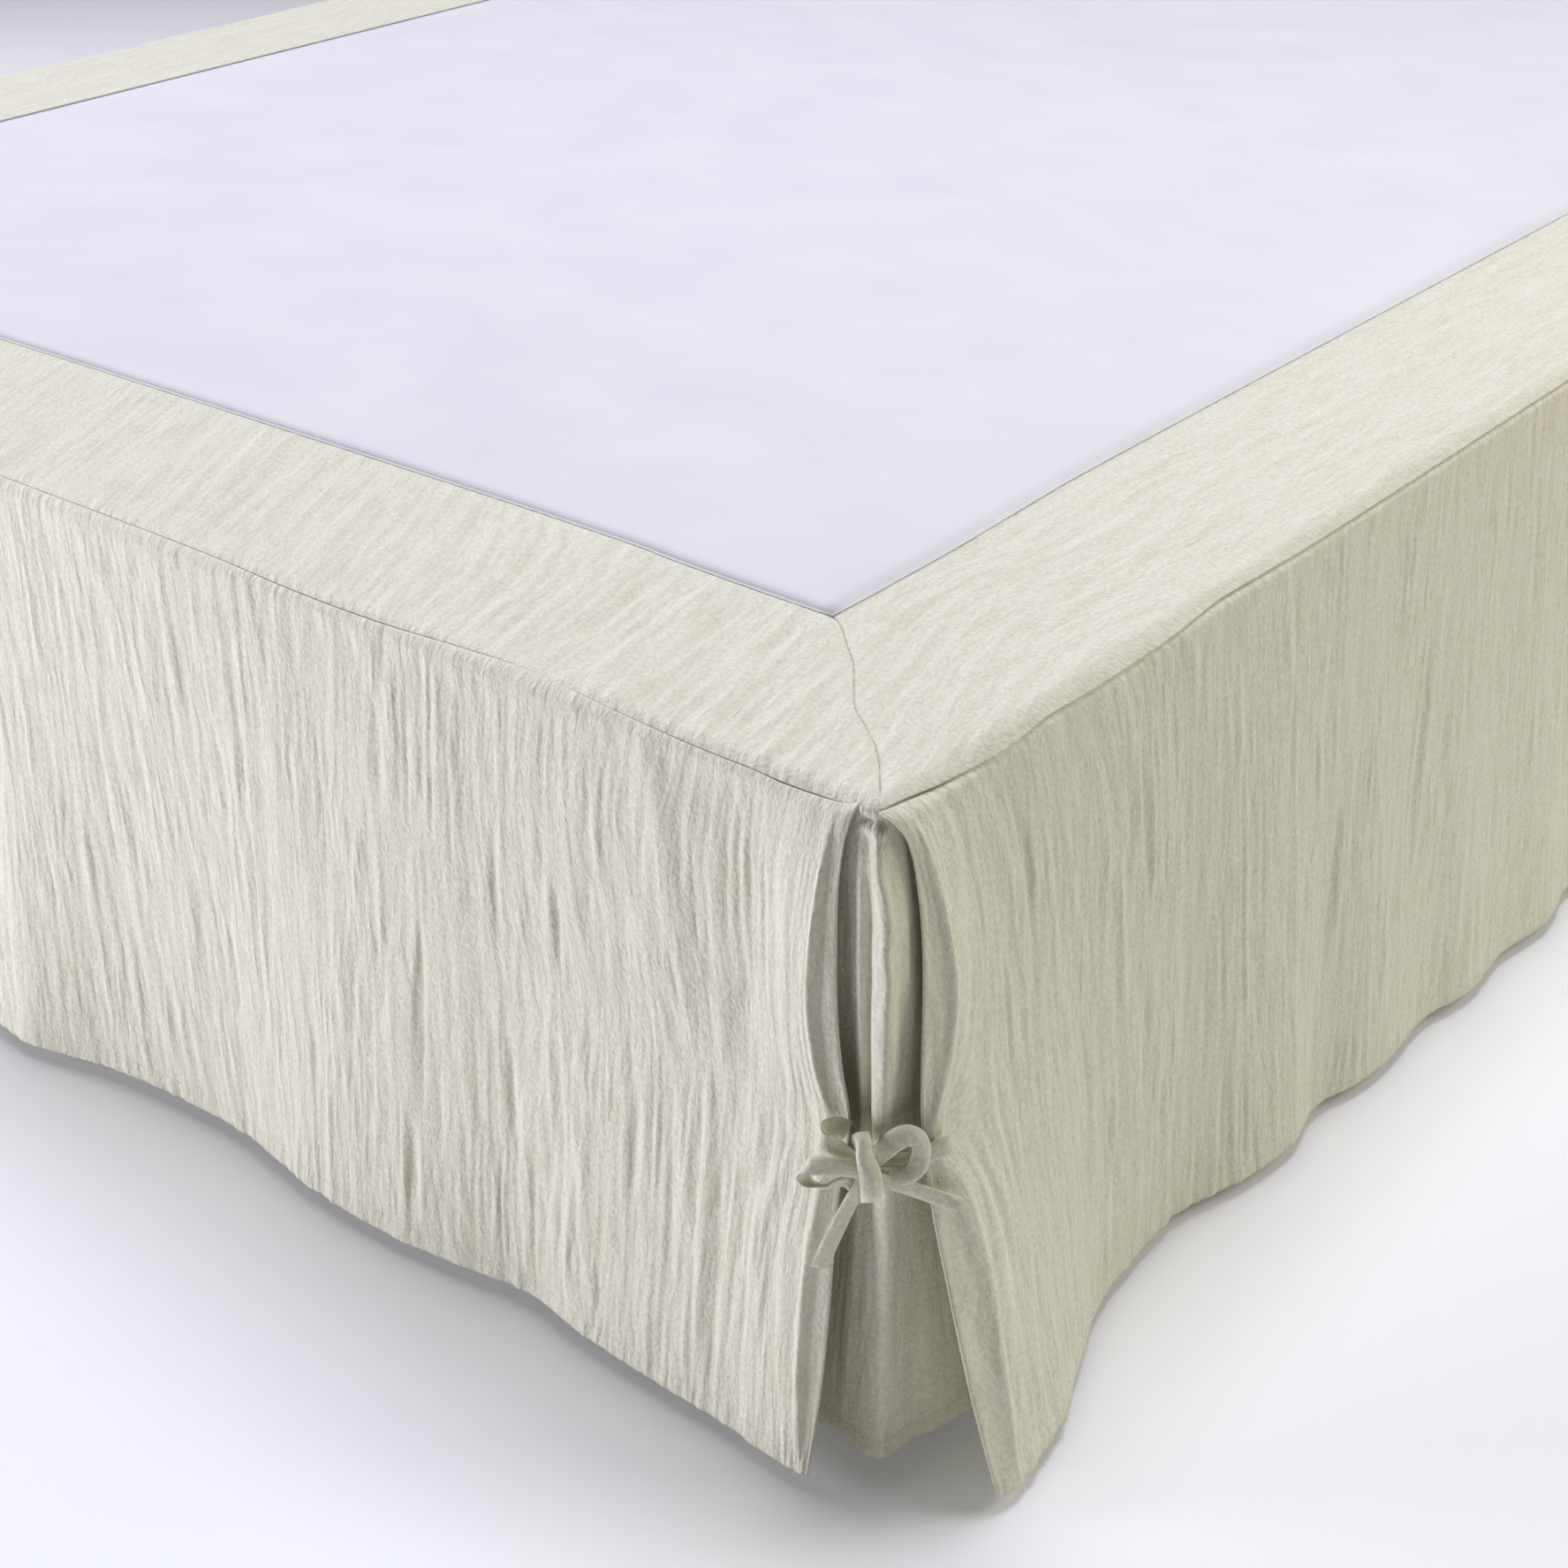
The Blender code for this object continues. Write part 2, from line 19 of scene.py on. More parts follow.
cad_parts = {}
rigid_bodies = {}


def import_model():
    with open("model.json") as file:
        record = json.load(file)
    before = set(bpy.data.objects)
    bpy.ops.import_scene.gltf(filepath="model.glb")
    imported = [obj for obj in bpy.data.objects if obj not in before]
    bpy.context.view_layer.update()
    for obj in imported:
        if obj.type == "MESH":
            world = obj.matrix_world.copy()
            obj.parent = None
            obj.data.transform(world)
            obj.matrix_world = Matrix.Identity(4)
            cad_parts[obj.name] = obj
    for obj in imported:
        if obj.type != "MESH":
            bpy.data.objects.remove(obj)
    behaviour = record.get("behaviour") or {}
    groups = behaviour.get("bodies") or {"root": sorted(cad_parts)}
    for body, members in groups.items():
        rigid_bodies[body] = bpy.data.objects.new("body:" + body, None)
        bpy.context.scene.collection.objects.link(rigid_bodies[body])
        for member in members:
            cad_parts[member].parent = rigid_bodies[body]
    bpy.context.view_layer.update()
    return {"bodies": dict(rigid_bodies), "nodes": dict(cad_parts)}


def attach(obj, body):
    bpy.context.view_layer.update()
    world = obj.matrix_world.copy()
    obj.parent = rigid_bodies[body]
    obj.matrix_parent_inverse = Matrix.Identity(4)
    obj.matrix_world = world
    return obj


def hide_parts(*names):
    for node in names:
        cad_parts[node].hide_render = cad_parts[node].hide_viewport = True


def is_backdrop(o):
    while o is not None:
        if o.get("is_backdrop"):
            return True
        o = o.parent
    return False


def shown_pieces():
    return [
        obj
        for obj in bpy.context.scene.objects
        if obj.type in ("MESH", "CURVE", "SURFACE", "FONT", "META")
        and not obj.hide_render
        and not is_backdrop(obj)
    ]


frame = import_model()
BODY = next(iter(frame["bodies"]))
MM = 0.001
print("body:", BODY, "- nodes:", len(frame["nodes"]))

# %% [markdown]
# ## Camera
# Someone who stands off one corner of the bed's foot sees both drops, the border and the bow. The
# camera is set by three turns about plain axes, which is easier to read than a matrix: first it is
# tilted up from straight down, then it is turned round the bed, and a small roll levels it.

# %% Camera
EYE = Vector((1.4372, -1.8232, 0.9978))
AZIMUTH, ELEVATION, ROLL = 40.29, 28.83, -1.415     # degrees
FOCAL_LENGTH, SENSOR_WIDTH = 58.6, 36               # millimetres
FARTHEST = 60                                       # metres


def add_object(name, data):
    """A new object in the scene."""
    made = bpy.data.objects.new(name, data)
    bpy.context.collection.objects.link(made)
    return made


lens = bpy.data.cameras.new("camera")
lens.lens = FOCAL_LENGTH
lens.sensor_width = SENSOR_WIDTH
lens.clip_end = FARTHEST
camera = add_object("camera", lens)
turn = Matrix.Rotation(math.radians(AZIMUTH), 4, "Z")
tilt = Matrix.Rotation(math.radians(90 - ELEVATION), 4, "X")
level = Matrix.Rotation(math.radians(ROLL), 4, "Z")
camera.matrix_world = Matrix.Translation(EYE) @ turn @ tilt @ level
bpy.context.scene.camera = camera
print("camera stands", round(EYE.length, 2), "m from the middle of the bed")

# %% [markdown]
# ## Light and floor
# Crinkled cloth needs light that grazes it, or its ridges vanish, but hard light would draw black
# lines. Large area lights give both. One stands very low on the left, like a window, and grazes
# the drops. A higher and warmer one on the right lights the sides that the first leaves dark. Two
# more, behind on the left and above, light the top. A faint warm world fills the folds, as the
# walls of a room do.

# %% Light and floor
Light = namedtuple("Light", "name towards power color")
DAYLIGHT = (0.98, 0.98, 1.13)
LAMPLIGHT = (1.04, 1.00, 0.87)
SKYLIGHT = (0.96, 0.98, 1.19)
LIGHTS = [
    Light("left window", (-0.761, -0.645, 0.070), 132, DAYLIGHT),
    Light("behind on the left", (-0.863, 0.071, 0.400), 42, DAYLIGHT),
    Light("above", (-0.05, 0.25, 0.97), 98, SKYLIGHT),
    Light("right window", (0.590, 0.490, 0.570), 56, LAMPLIGHT),
]
LIGHT_DISTANCE, LIGHT_SIZE = 4.0, 2.0       # metres
WORLD_COLOR, WORLD_STRENGTH = (1.0, 0.94, 0.78), 0.05
AIM = Vector((0.6, -0.8, 0.3))     # just inside the seen corner
FLOOR_HALF = 30

for light in LIGHTS:
    lamp = bpy.data.lights.new(light.name, "AREA")
    lamp.shape = "DISK"
    lamp.size = LIGHT_SIZE
    lamp.energy = light.power
    lamp.color = light.color
    placed = add_object(light.name, lamp)
    towards = Vector(light.towards).normalized()
    placed.location = AIM + towards * LIGHT_DISTANCE
    placed.rotation_euler = towards.to_track_quat("Z", "Y").to_euler()

world = bpy.data.worlds.new("room")
world.use_nodes = True
sky = world.node_tree.nodes["Background"]
sky.inputs["Color"].default_value = (*WORLD_COLOR, 1)
sky.inputs["Strength"].default_value = WORLD_STRENGTH
bpy.context.scene.world = world
bpy.context.scene.view_settings.view_transform = "Standard"

floor_mesh = bpy.data.meshes.new("floor")
h = FLOOR_HALF
floor_mesh.from_pydata([(-h, -h, 0), (h, -h, 0), (h, h, 0), (-h, h, 0)], [], [(0, 1, 2, 3)])
floor = add_object("floor", floor_mesh)
floor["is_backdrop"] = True
print("lights:", [light.name for light in LIGHTS])

# %% [markdown]
# ## Materials as expressions
# A procedural material is a sum: threads plus crinkle plus slubs. Wiring nodes by hand hides that
# sum, so a small class wraps a socket and gives it Python's operators. `0.5 + 2 * grain` then adds
# two Math nodes. Colours go through Mix, because a Math node would turn them grey.

# %% A value inside a material
def add_node(tree, kind, settings, inputs):
    """A node of a tree: its settings first, then the values or links of its sockets."""
    made = tree.nodes.new(kind)
    for name, setting in settings.items():
        setattr(made, name, setting)
    for name, value in inputs.items():
        if isinstance(value, Value):
            value = value.socket
        if isinstance(value, bpy.types.NodeSocket):
            tree.links.new(value, made.inputs[name])
        else:
            made.inputs[name].default_value = value
    return made


class Value:
    """One socket of a material's nodes. Arithmetic on it adds Math nodes."""

    def __init__(self, tree, socket):
        self.tree = tree
        self.socket = socket

    def node(self, kind, settings, inputs, output=0):
        """The value that another node of the same tree gives."""
        made = add_node(self.tree, kind, settings, inputs)
        return Value(self.tree, made.outputs[output])

    def maths(self, operation, *values):
        return self.node("ShaderNodeMath", {"operation": operation}, dict(enumerate(values)))

    def __add__(self, other):
        return self.maths("ADD", self, other)

    def __sub__(self, other):
        return self.maths("SUBTRACT", self, other)

    def __rsub__(self, other):
        return self.maths("SUBTRACT", other, self)

    def __mul__(self, other):
        return self.maths("MULTIPLY", self, other)

    __radd__ = __add__
    __rmul__ = __mul__

    def size(self):
        """The value without its sign."""
        return self.maths("ABSOLUTE", self)

    def between(self, low, high):
        """0 below low, 1 above high, and smooth in between."""
        settings = {"interpolation_type": "SMOOTHSTEP"}
        return self.node("ShaderNodeMapRange", settings, {0: self, 1: low, 2: high})

    def stretched(self, x, y, z=1.0):
        """This vector with its parts multiplied."""
        inputs = {0: self, 1: (x, y, z)}
        return self.node("ShaderNodeVectorMath", {"operation": "MULTIPLY"}, inputs)

    def moved(self, other):
        """This vector plus another, or plus a value in all its parts."""
        return self.node("ShaderNodeVectorMath", {"operation": "ADD"}, {0: self, 1: other})

    def lumps(self, detail=0.0, roughness=0.5):
        """Smooth noise around 0, one lump per unit of this vector, from about -1 to 1."""
        settings = {"noise_dimensions": "3D", "normalize": False}
        inputs = {"Vector": self, "Scale": 1.0, "Detail": detail, "Roughness": roughness}
        return self.node("ShaderNodeTexNoise", settings, inputs)

    def blend(self, start, end):
        """A colour that goes from start to end as this value goes from 0 to 1."""
        inputs = {0: self, 6: start, 7: end}
        return self.node("ShaderNodeMix", {"data_type": "RGBA"}, inputs, 2)


CLOTH_SHINE = 0.2


def new_material(name, roughness, sheen=0.0):
    """A material, its shader and its own starting value, which reads the piece's coordinates."""
    made = bpy.data.materials.new(name)
    made.use_nodes = True
    shader = made.node_tree.nodes["Principled BSDF"]
    shader.inputs["Roughness"].default_value = roughness
    shader.inputs["Sheen Weight"].default_value = sheen
    shader.inputs["Specular IOR Level"].default_value = CLOTH_SHINE
    start = Value(made.node_tree, None)
    return made, shader, start


def finish(shader, color, height=None):
    """Joins a colour, and a height in millimetres, to a shader."""
    color.tree.links.new(color.socket, shader.inputs["Base Color"])
    if height:
        inputs = {"Height": height, "Distance": MM, "Strength": 1.0}
        bump = height.node("ShaderNodeBump", {}, inputs)
        bump.tree.links.new(bump.socket, shader.inputs["Normal"])


print("materials are written as sums of patterns")

# %% [markdown]
# ## Crinkled gauze
# The skirt is double gauze: two open weaves caught together, which shrink unevenly in the wash and
# rise in long soft ridges with pinched valleys. The pattern follows the cloth, so it reads the UV
# map, whose units here are metres: U runs across the ridges and V along them. Big creases are in
# the mesh; the finest ridges and the threads are bump, because they are under a millimetre high.

# %% Gauze
# The first colour is the cloth's own pale tone. The second, darker and warmer one is partly painted shade
# for the crinkle's valleys and partly the cloth's random tone.
GAUZE_LIGHT = (0.846, 0.832, 0.688, 1)
GAUZE_DARK_AND_SHADED = (0.640, 0.622, 0.458, 1)


def gauze_material():
    made, shader, start = new_material("crinkled_gauze", 0.95, sheen=0.12)
    cloth = start.node("ShaderNodeUVMap", {"uv_map": "cloth"}, {})
    sway = cloth.stretched(22, 12).lumps() * 0.0026
    wiggle = cloth.stretched(90, 60).lumps() * 0.0009
    swayed = cloth.moved(sway + wiggle)
    ridges = swayed.stretched(115, 22).lumps(1.0)
    pinched = swayed.stretched(150, 30).lumps(0.6).size()
    patches = cloth.stretched(16, 13).lumps().between(-0.5, 0.5)
    strength = 0.50 + 0.70 * patches
    grain = cloth.stretched(480, 330).lumps(1.6, 0.6)
    fuzz = cloth.stretched(1300, 1100).lumps(1.0, 0.6)
    height = strength * (0.72 * ridges + 0.42 * pinched) + 0.20 * grain + 0.05 * fuzz
    # The colour darkens towards the darker, warmer tone in the pinched valleys, which is painted shade,
    # and lightens on the ridge crests, which is painted highlight. Mottle and fuzz are the cloth's own
    # uneven tone.
    valley = 1.0 - pinched.between(0.0, 0.20)
    mottle = cloth.stretched(380, 300).lumps(2.0, 0.6)
    depth = 0.20 * valley * strength - 0.18 * ridges + 0.40 * mottle + 0.12 * fuzz + 0.30
    finish(shader, depth.blend(GAUZE_LIGHT, GAUZE_DARK_AND_SHADED), height)
    return made


gauze = gauze_material()
print("gauze has", len(gauze.node_tree.nodes), "nodes")

# %% [markdown]
# ## Decking, thread, base cover and wood
# The decking is plain closely woven cotton, a cool white beside the warm gauze. The thread is
# bright and smooth. The base under the skirt has a coarse pale cover, and its feet are turned
# wood. None of these follow a fold closely, so they read object coordinates.

# %% Other materials
DECKING_LIGHT = (0.805, 0.805, 0.792, 1)
DECKING_DEEP = (0.750, 0.752, 0.750, 1)
THREAD_LIGHT, THREAD_DEEP = (0.90, 0.90, 0.86, 1), (0.84, 0.84, 0.78, 1)
COVER_LIGHT, COVER_DEEP = (0.62, 0.60, 0.55, 1), (0.50, 0.48, 0.43, 1)
WOOD_LIGHT, WOOD_DEEP = (0.50, 0.34, 0.20, 1), (0.30, 0.18, 0.10, 1)
FLOOR_LIGHT, FLOOR_DEEP = (0.90, 0.90, 0.90, 1), (0.89, 0.89, 0.89, 1)
FLOOR_GLOW = 0.10


def place(start):
    """The object's own coordinates, in metres."""
    return start.node("ShaderNodeTexCoord", {}, {}, 3)


def mottled(pattern, light, deep):
    """A colour that wanders from light to deep, as a pattern goes from -1 to 1."""
    return (0.5 + 0.5 * pattern).blend(light, deep)


def decking_material():
    made, shader, start = new_material("decking_cotton", 0.9, sheen=0.1)
    at = place(start)
    weave = at.stretched(1400, 1100, 900).lumps(1.0)
    rumples = at.stretched(9, 12, 5).lumps(2.0)
    height = 0.03 * weave + 0.25 * rumples
    finish(shader, mottled(rumples, DECKING_LIGHT, DECKING_DEEP), height)
    return made


def thread_material():
    made, shader, start = new_material("white_thread", 0.6)
    fibres = place(start).stretched(3000, 3000, 3000).lumps()
    finish(shader, mottled(fibres, THREAD_LIGHT, THREAD_DEEP))
    return made


def cover_material():
    made, shader, start = new_material("coarse_cover", 0.9)
    at = place(start)
    weft = at.stretched(500, 500, 1400).lumps(1.0)
    warp = at.stretched(1400, 1400, 400).lumps(1.0)
    finish(shader, mottled(weft, COVER_LIGHT, COVER_DEEP), 0.10 * (weft + warp))
    return made


def wood_material():
    made, shader, start = new_material("turned_wood", 0.45)
    at = place(start)
    rings = at.stretched(70, 70, 5).lumps(3.0)
    pores = at.stretched(900, 900, 60).lumps(1.0).between(0.25, 0.6)
    finish(shader, rings.between(-0.5, 0.5).blend(WOOD_LIGHT, WOOD_DEEP), -0.05 * pores)
    return made


def floor_material():
    made, shader, start = new_material("floor", 0.8)
    shader.inputs["Emission Color"].default_value = FLOOR_LIGHT
    shader.inputs["Emission Strength"].default_value = FLOOR_GLOW
    dust = place(start).stretched(2, 2, 2).lumps()
    finish(shader, mottled(dust, FLOOR_LIGHT, FLOOR_DEEP))
    return made


decking_cotton = decking_material()
thread = thread_material()
base_cover = cover_material()
wood = wood_material()
floor.data.materials.append(floor_material())
for name, node in frame["nodes"].items():
    if name == "bed_base" or name.startswith("leg_"):
        node.data.materials.clear()
        node.data.materials.append(base_cover if name == "bed_base" else wood)
print("materials:", [m.name for m in bpy.data.materials])

# %% [markdown]
# ## The skirt's sizes
# The cloth lies on the same folds as the solids, so it is built from the same sizes and tables.
# A hem is a line of folds, each a place along the side and how far it hangs out, and a smooth
# curve through the table gives every point between. The drop leans from the bed's edge to that
# line, and the folds die away upwards.

# %% Sizes
BED_WIDTH, BED_LENGTH, DECK_HEIGHT = 1.600, 2.000, 0.410
DROP = 0.400                    # from the bed's edge down to the hem
BAND_WIDTH = 0.153              # width of the border
CLOTH = 1.3 * MM                # thickness of a sheet of cloth
GAP = 0.3 * MM                  # between the decking and the border
SHOULDER = 11 * MM              # radius of the cloth's bend round the bed's edge
FLARE, FLARE_POWER, FOLD_POWER = 36 * MM, 1.1, 1.8      # how a drop leans out on its way down
FOLD_PITCH, FOLD_SEED = 60 * MM, 7                      # of the folds between two corners
MID_LEAN, MID_SWING = 5 * MM, (2, 9)                    # and how far they swing out, in mm
FLAP, RIDGE = 84 * MM, 17 * MM  # cloth from a flap's free edge to its end, and to its ridge
LAST_KNOT, CORNER_REACH = 1.4, 1.5                      # reaches of a corner, counted in flaps
PLEAT_TOP = 3.2 * MM            # depth of a pleat's top edge
SEAM_CLEAR_TURN = 1.0           # degrees between the border's end and the drop's start
MITRE_GAP = 0.06 * MM           # from a strip's end to its mitre
HEM_LINE = 0.389                # depth of the hem's stitches
GROOVE_WIDTH = 1.6 * MM         # of the groove that they pull
STITCH_LIFT = 0.15 * MM         # how high they lie on the cloth
SEEN_SIDES = ("foot", "right")

Side = namedtuple("Side", "name heading length liveliness")
SIDES = [
    Side("foot", 0, BED_WIDTH, 1.0),
    Side("right", 90, BED_LENGTH, 1.0),
    Side("head", 180, BED_WIDTH, 0.8),
    Side("left", 270, BED_LENGTH, 1.15),
]
CORNER = Vector((BED_WIDTH / 2, -BED_LENGTH / 2, DECK_HEIGHT))     # the seen corner's top
print("sides:", [(side.name, side.length) for side in SIDES])

# %% Tables of folds
FOLDS_AFTER_CORNER = np.array([
    (24, 71), (44, 67), (66, 67), (86, 60), (123, 44), (158, 29), (179, 23), (225, 17), (270, 15),
    (302, 22), (334, 31), (382, 35), (422, 27), (454, 34), (490, 39), (555, 35), (606, 44),
    (662, 40), (720, 46),
]) * MM      # along from the corner, out of the bed
FOLDS_BEFORE_CORNER = np.array([
    (26, 42), (60, 40), (96, 38), (161, 36), (206, 32), (247, 27), (297, 34), (359, 41), (425, 39),
    (464, 33), (503, 27), (572, 29), (623, 34), (665, 44), (708, 53),
]) * MM

# Depth, then the free edge's place (along, out), then the place of the ridge where it turns in.
FLAP_AFTER_CORNER = np.array([
    (0, 0.8, -0.5, 13.0, -0.5),
    (22, 12.5, 4.5, 20.5, 7.0),
    (48, 16.0, 7.5, 26.0, 12.0),
    (80, 15.5, 11.0, 29.5, 17.0),
    (112, 12.0, 14.0, 28.5, 21.5),
    (146, 5.5, 18.0, 19.0, 24.5),
    (172, 2.5, 21.0, 8.0, 26.5),
    (194, 2.5, 23.5, 10.5, 29.5),
    (222, 1.5, 28.5, 20.5, 36.0),
    (270, 1.5, 39.5, 25.0, 47.0),
    (335, 2.0, 54.5, 22.5, 61.5),
    (400, 9.0, 68.0, 24.0, 71.5),
]) * MM
FLAP_BEFORE_CORNER = np.array([
    (0, 16.0, -0.5, 27.0, -0.5),
    (22, 20.3, 3.6, 28.6, 6.5),
    (48, 22.5, 6.4, 31.3, 11.5),
    (80, 21.8, 8.8, 33.0, 15.5),
    (112, 20.6, 10.8, 34.0, 17.8),
    (146, 16.0, 13.0, 28.5, 19.8),
    (172, 9.5, 15.2, 21.5, 20.2),
    (194, 11.0, 17.2, 21.0, 21.5),
    (222, 14.0, 20.0, 23.5, 25.5),
    (270, 14.5, 25.3, 27.0, 32.0),
    (335, 16.3, 32.5, 28.3, 38.8),
    (400, 21.5, 40.3, 27.5, 42.5),
]) * MM
print("folds beside a corner:", len(FOLDS_AFTER_CORNER), "after,", len(FOLDS_BEFORE_CORNER), "before")

# %% Curves, noise and creases
def curve_through(places, values, at):
    """A smooth curve through values at rising places, read at every place of at."""
    places, values = np.asarray(places, float), np.asarray(values, float)
    wide = values.reshape(len(places), -1)
    at = np.clip(np.asarray(at, float), places[0], places[-1])
    i = np.clip(np.searchsorted(places, at) - 1, 0, len(places) - 2)
    before, after = np.maximum(i - 1, 0), np.minimum(i + 2, len(places) - 1)
    span = places[i + 1] - places[i]
    t = ((at - places[i]) / span)[:, None]
    slope_in = (wide[i + 1] - wide[before]) * (span / (places[i + 1] - places[before]))[:, None]
    slope_out = (wide[after] - wide[i]) * (span / (places[after] - places[i]))[:, None]
    found = (
        wide[i] * (2 * t**3 - 3 * t**2 + 1)
        + slope_in * (t**3 - 2 * t**2 + t)
        + wide[i + 1] * (3 * t**2 - 2 * t**3)
        + slope_out * (t**3 - t**2)
    )
    return found[:, 0] if values.ndim == 1 else found


def smooth(x, low, high):
    """0 below low, 1 above high, and smooth in between."""
    t = np.clip((x - low) / (high - low), 0, 1)
    return t * t * (3 - 2 * t)


def hill(x, middle, width):
    """1 at the middle, and dying away on both sides of it, almost to 0 at two widths."""
    return np.exp(-(((x - middle) / width) ** 2))


def read_table(table, at):
    """The second column of a table, as a smooth curve, at any places of its first."""
    return curve_through(table[:, 0], table[:, 1], np.ravel(at)).reshape(np.shape(at))


def noise(x, y, seed):
    """Smooth noise from -1 to 1 with one lump per unit of x and of y."""
    lattice = np.random.default_rng(seed).uniform(-1, 1, (256, 256))
    i, j = np.floor(x).astype(int), np.floor(y).astype(int)
    s, t = smooth(x - i, 0, 1), smooth(y - j, 0, 1)
    low = lattice[i % 256, j % 256] * (1 - s) + lattice[(i + 1) % 256, j % 256] * s
    high = lattice[i % 256, (j + 1) % 256] * (1 - s) + lattice[(i + 1) % 256, (j + 1) % 256] * s
    return low * (1 - t) + high * t


BROAD, NARROW, ROLLING = 7.0 * MM, 4.6 * MM, 0.021                  # from ridge to ridge
BROAD_HEIGHT, NARROW_HEIGHT, ROLLING_HEIGHT = 1.75, 1.00, 0.75      # in mm


def crinkle(across, along, seed):
    """Height of the gauze's ridges: soft crests and pinched valleys that wander and break off."""
    swayed = across + 2.4 * MM * noise(across / 0.045, along / 0.070, seed)
    swayed += 0.6 * MM * noise(across / 0.014, along / 0.022, seed + 5)
    broad = np.abs(noise(swayed / BROAD, along / 0.085, seed + 1)) - 0.35
    narrow = np.abs(noise(swayed / NARROW, along / 0.046, seed + 2)) - 0.35
    patches = 0.40 + 0.60 * smooth(noise(across / 0.055, along / 0.075, seed + 3), -0.6, 0.6)
    rolling = noise(swayed / ROLLING, along / 0.130, seed + 4)
    ridges = patches * (BROAD_HEIGHT * broad + NARROW_HEIGHT * narrow)
    return MM * (ridges + ROLLING_HEIGHT * rolling)


Crease = namedtuple("Crease", "x y to_x to_y bow height width")


def creases_in(rows):
    """The creases that a plain table of numbers stands for."""
    return [Crease(*row) for row in rows]


def crease_height(creases, x, y):
    """Height of listed creases at points x, y: a ridge is above 0, a trough below. In mm."""
    total = np.zeros_like(x)
    for c in creases:
        run = np.array([c.to_x - c.x, c.to_y - c.y], float)
        length = np.hypot(*run)
        ahead = run / length
        t = ((x - c.x) * ahead[0] + (y - c.y) * ahead[1]) / length
        inside = np.clip(t, 0, 1)
        off = (x - c.x) * ahead[1] - (y - c.y) * ahead[0] - c.bow * 4 * inside * (1 - inside)
        over = np.maximum(np.abs(t - 0.5) - 0.5, 0) * length
        fade = np.clip(4 * inside * (1 - inside), 0, 1) ** 0.5
        body = hill(off, 0, c.width) - 0.25 * hill(off, 0, 2.4 * c.width)
        total += c.height * body * fade * (over < 0.001)
    return total


print("a curve through 0, 1, 4 passes", curve_through([0, 1, 2], [0, 1, 4], [1.5])[0])

# %% [markdown]
# ## Laying cloth on a grid
# Each cut piece is a grid of points with a height for every point. The grid gives the folds, the
# height is added along the cloth's own normal, and Solidify gives the cloth its thickness and its
# edge. The grid is close near the tied corner, where there is most to see, and wider elsewhere.

# %% Cloth from a grid
def normals_of(points, outward):
    """The unit normal at each point of a grid, on the side that outward shows."""
    normal = np.cross(np.gradient(points, axis=1), np.gradient(points, axis=0))
    normal /= np.linalg.norm(normal, axis=2, keepdims=True) + 1e-12
    middle = normal[len(normal) // 2, normal.shape[1] // 2]
    return normal if middle @ np.array(outward) > 0 else -normal


def add_mesh(name, points, faces, uv, material):
    """A smooth mesh of one material. Each point has its place on the flat cloth as its UV."""
    mesh = bpy.data.meshes.new(name)
    mesh.from_pydata(points.tolist(), [], faces)
    layer = mesh.uv_layers.new(name="cloth")
    corners = np.zeros(len(mesh.loops), int)
    mesh.loops.foreach_get("vertex_index", corners)
    layer.data.foreach_set("uv", uv[corners].ravel())
    mesh.materials.append(material)
    mesh.shade_smooth()
    return add_object(name, mesh)


def add_cloth(name, points, uv, outward, material):
    """One sheet of cloth whose outer face has those rows of points, with UVs in metres."""
    rows, wide = points.shape[:2]
    first = (np.arange(rows - 1)[:, None] * wide + np.arange(wide - 1)).ravel()
    faces = np.stack([first, first + 1, first + wide + 1, first + wide], axis=1)
    a, b, c = (points.reshape(-1, 3)[faces[len(faces) // 2, k]] for k in (0, 1, 2))
    if np.cross(b - a, c - b) @ np.array(outward) < 0:
        faces = faces[:, ::-1]
    made = add_mesh(name, points.reshape(-1, 3), faces.tolist(), uv.reshape(-1, 2), material)
    wall = made.modifiers.new("Thickness", "SOLIDIFY")
    wall.thickness = CLOTH
    wall.offset = -1
    wall.use_rim = True
    return made


def side_frame(side):
    """The turn that carries a side's own frame (along, -out, height) to the bed."""
    depth_of_bed = BED_LENGTH if side.length == BED_WIDTH else BED_WIDTH
    turn = Matrix.Rotation(math.radians(side.heading), 4, "Z")
    return turn @ Matrix.Translation((-side.length / 2, -depth_of_bed / 2, DECK_HEIGHT))


def carried(points, placed):
    """Rows of points, carried by a matrix."""
    return points @ placed[:3, :3].T + placed[:3, 3]


def on_side(side, along, out, depth):
    """Points of a side, from arrays: along from its first corner, out of the bed, and down."""
    local = np.stack(np.broadcast_arrays(along, -np.asarray(out), -np.asarray(depth)), axis=-1)
    return carried(local, np.array(side_frame(side)))


def spaced(marks):
    """Places along a line: marks is a list of (up to, about how far apart)."""
    places, at = [0.0], 0.0
    for end, step in marks:
        count = max(1, round((end - at) / step))
        places += list(at + (end - at) * np.arange(1, count + 1) / count)
        at = end
    return np.array(places)


print("columns of a plain stretch:", spaced([(0.1, 0.02)]))

# %% [markdown]
# ## The drops
# A drop hangs from its seam over the bed's edge to a hem near the floor. Its hem waves, and at
# each end a flap is drawn back by a tie, so its edge curls in. That could be a cloth simulation,
# but a simulation would not stop at these folds, so the cloth is laid on the tables instead.
# Every main crease is a line in a table: where it starts and ends, how it bows, how high it
# stands and how wide it is.

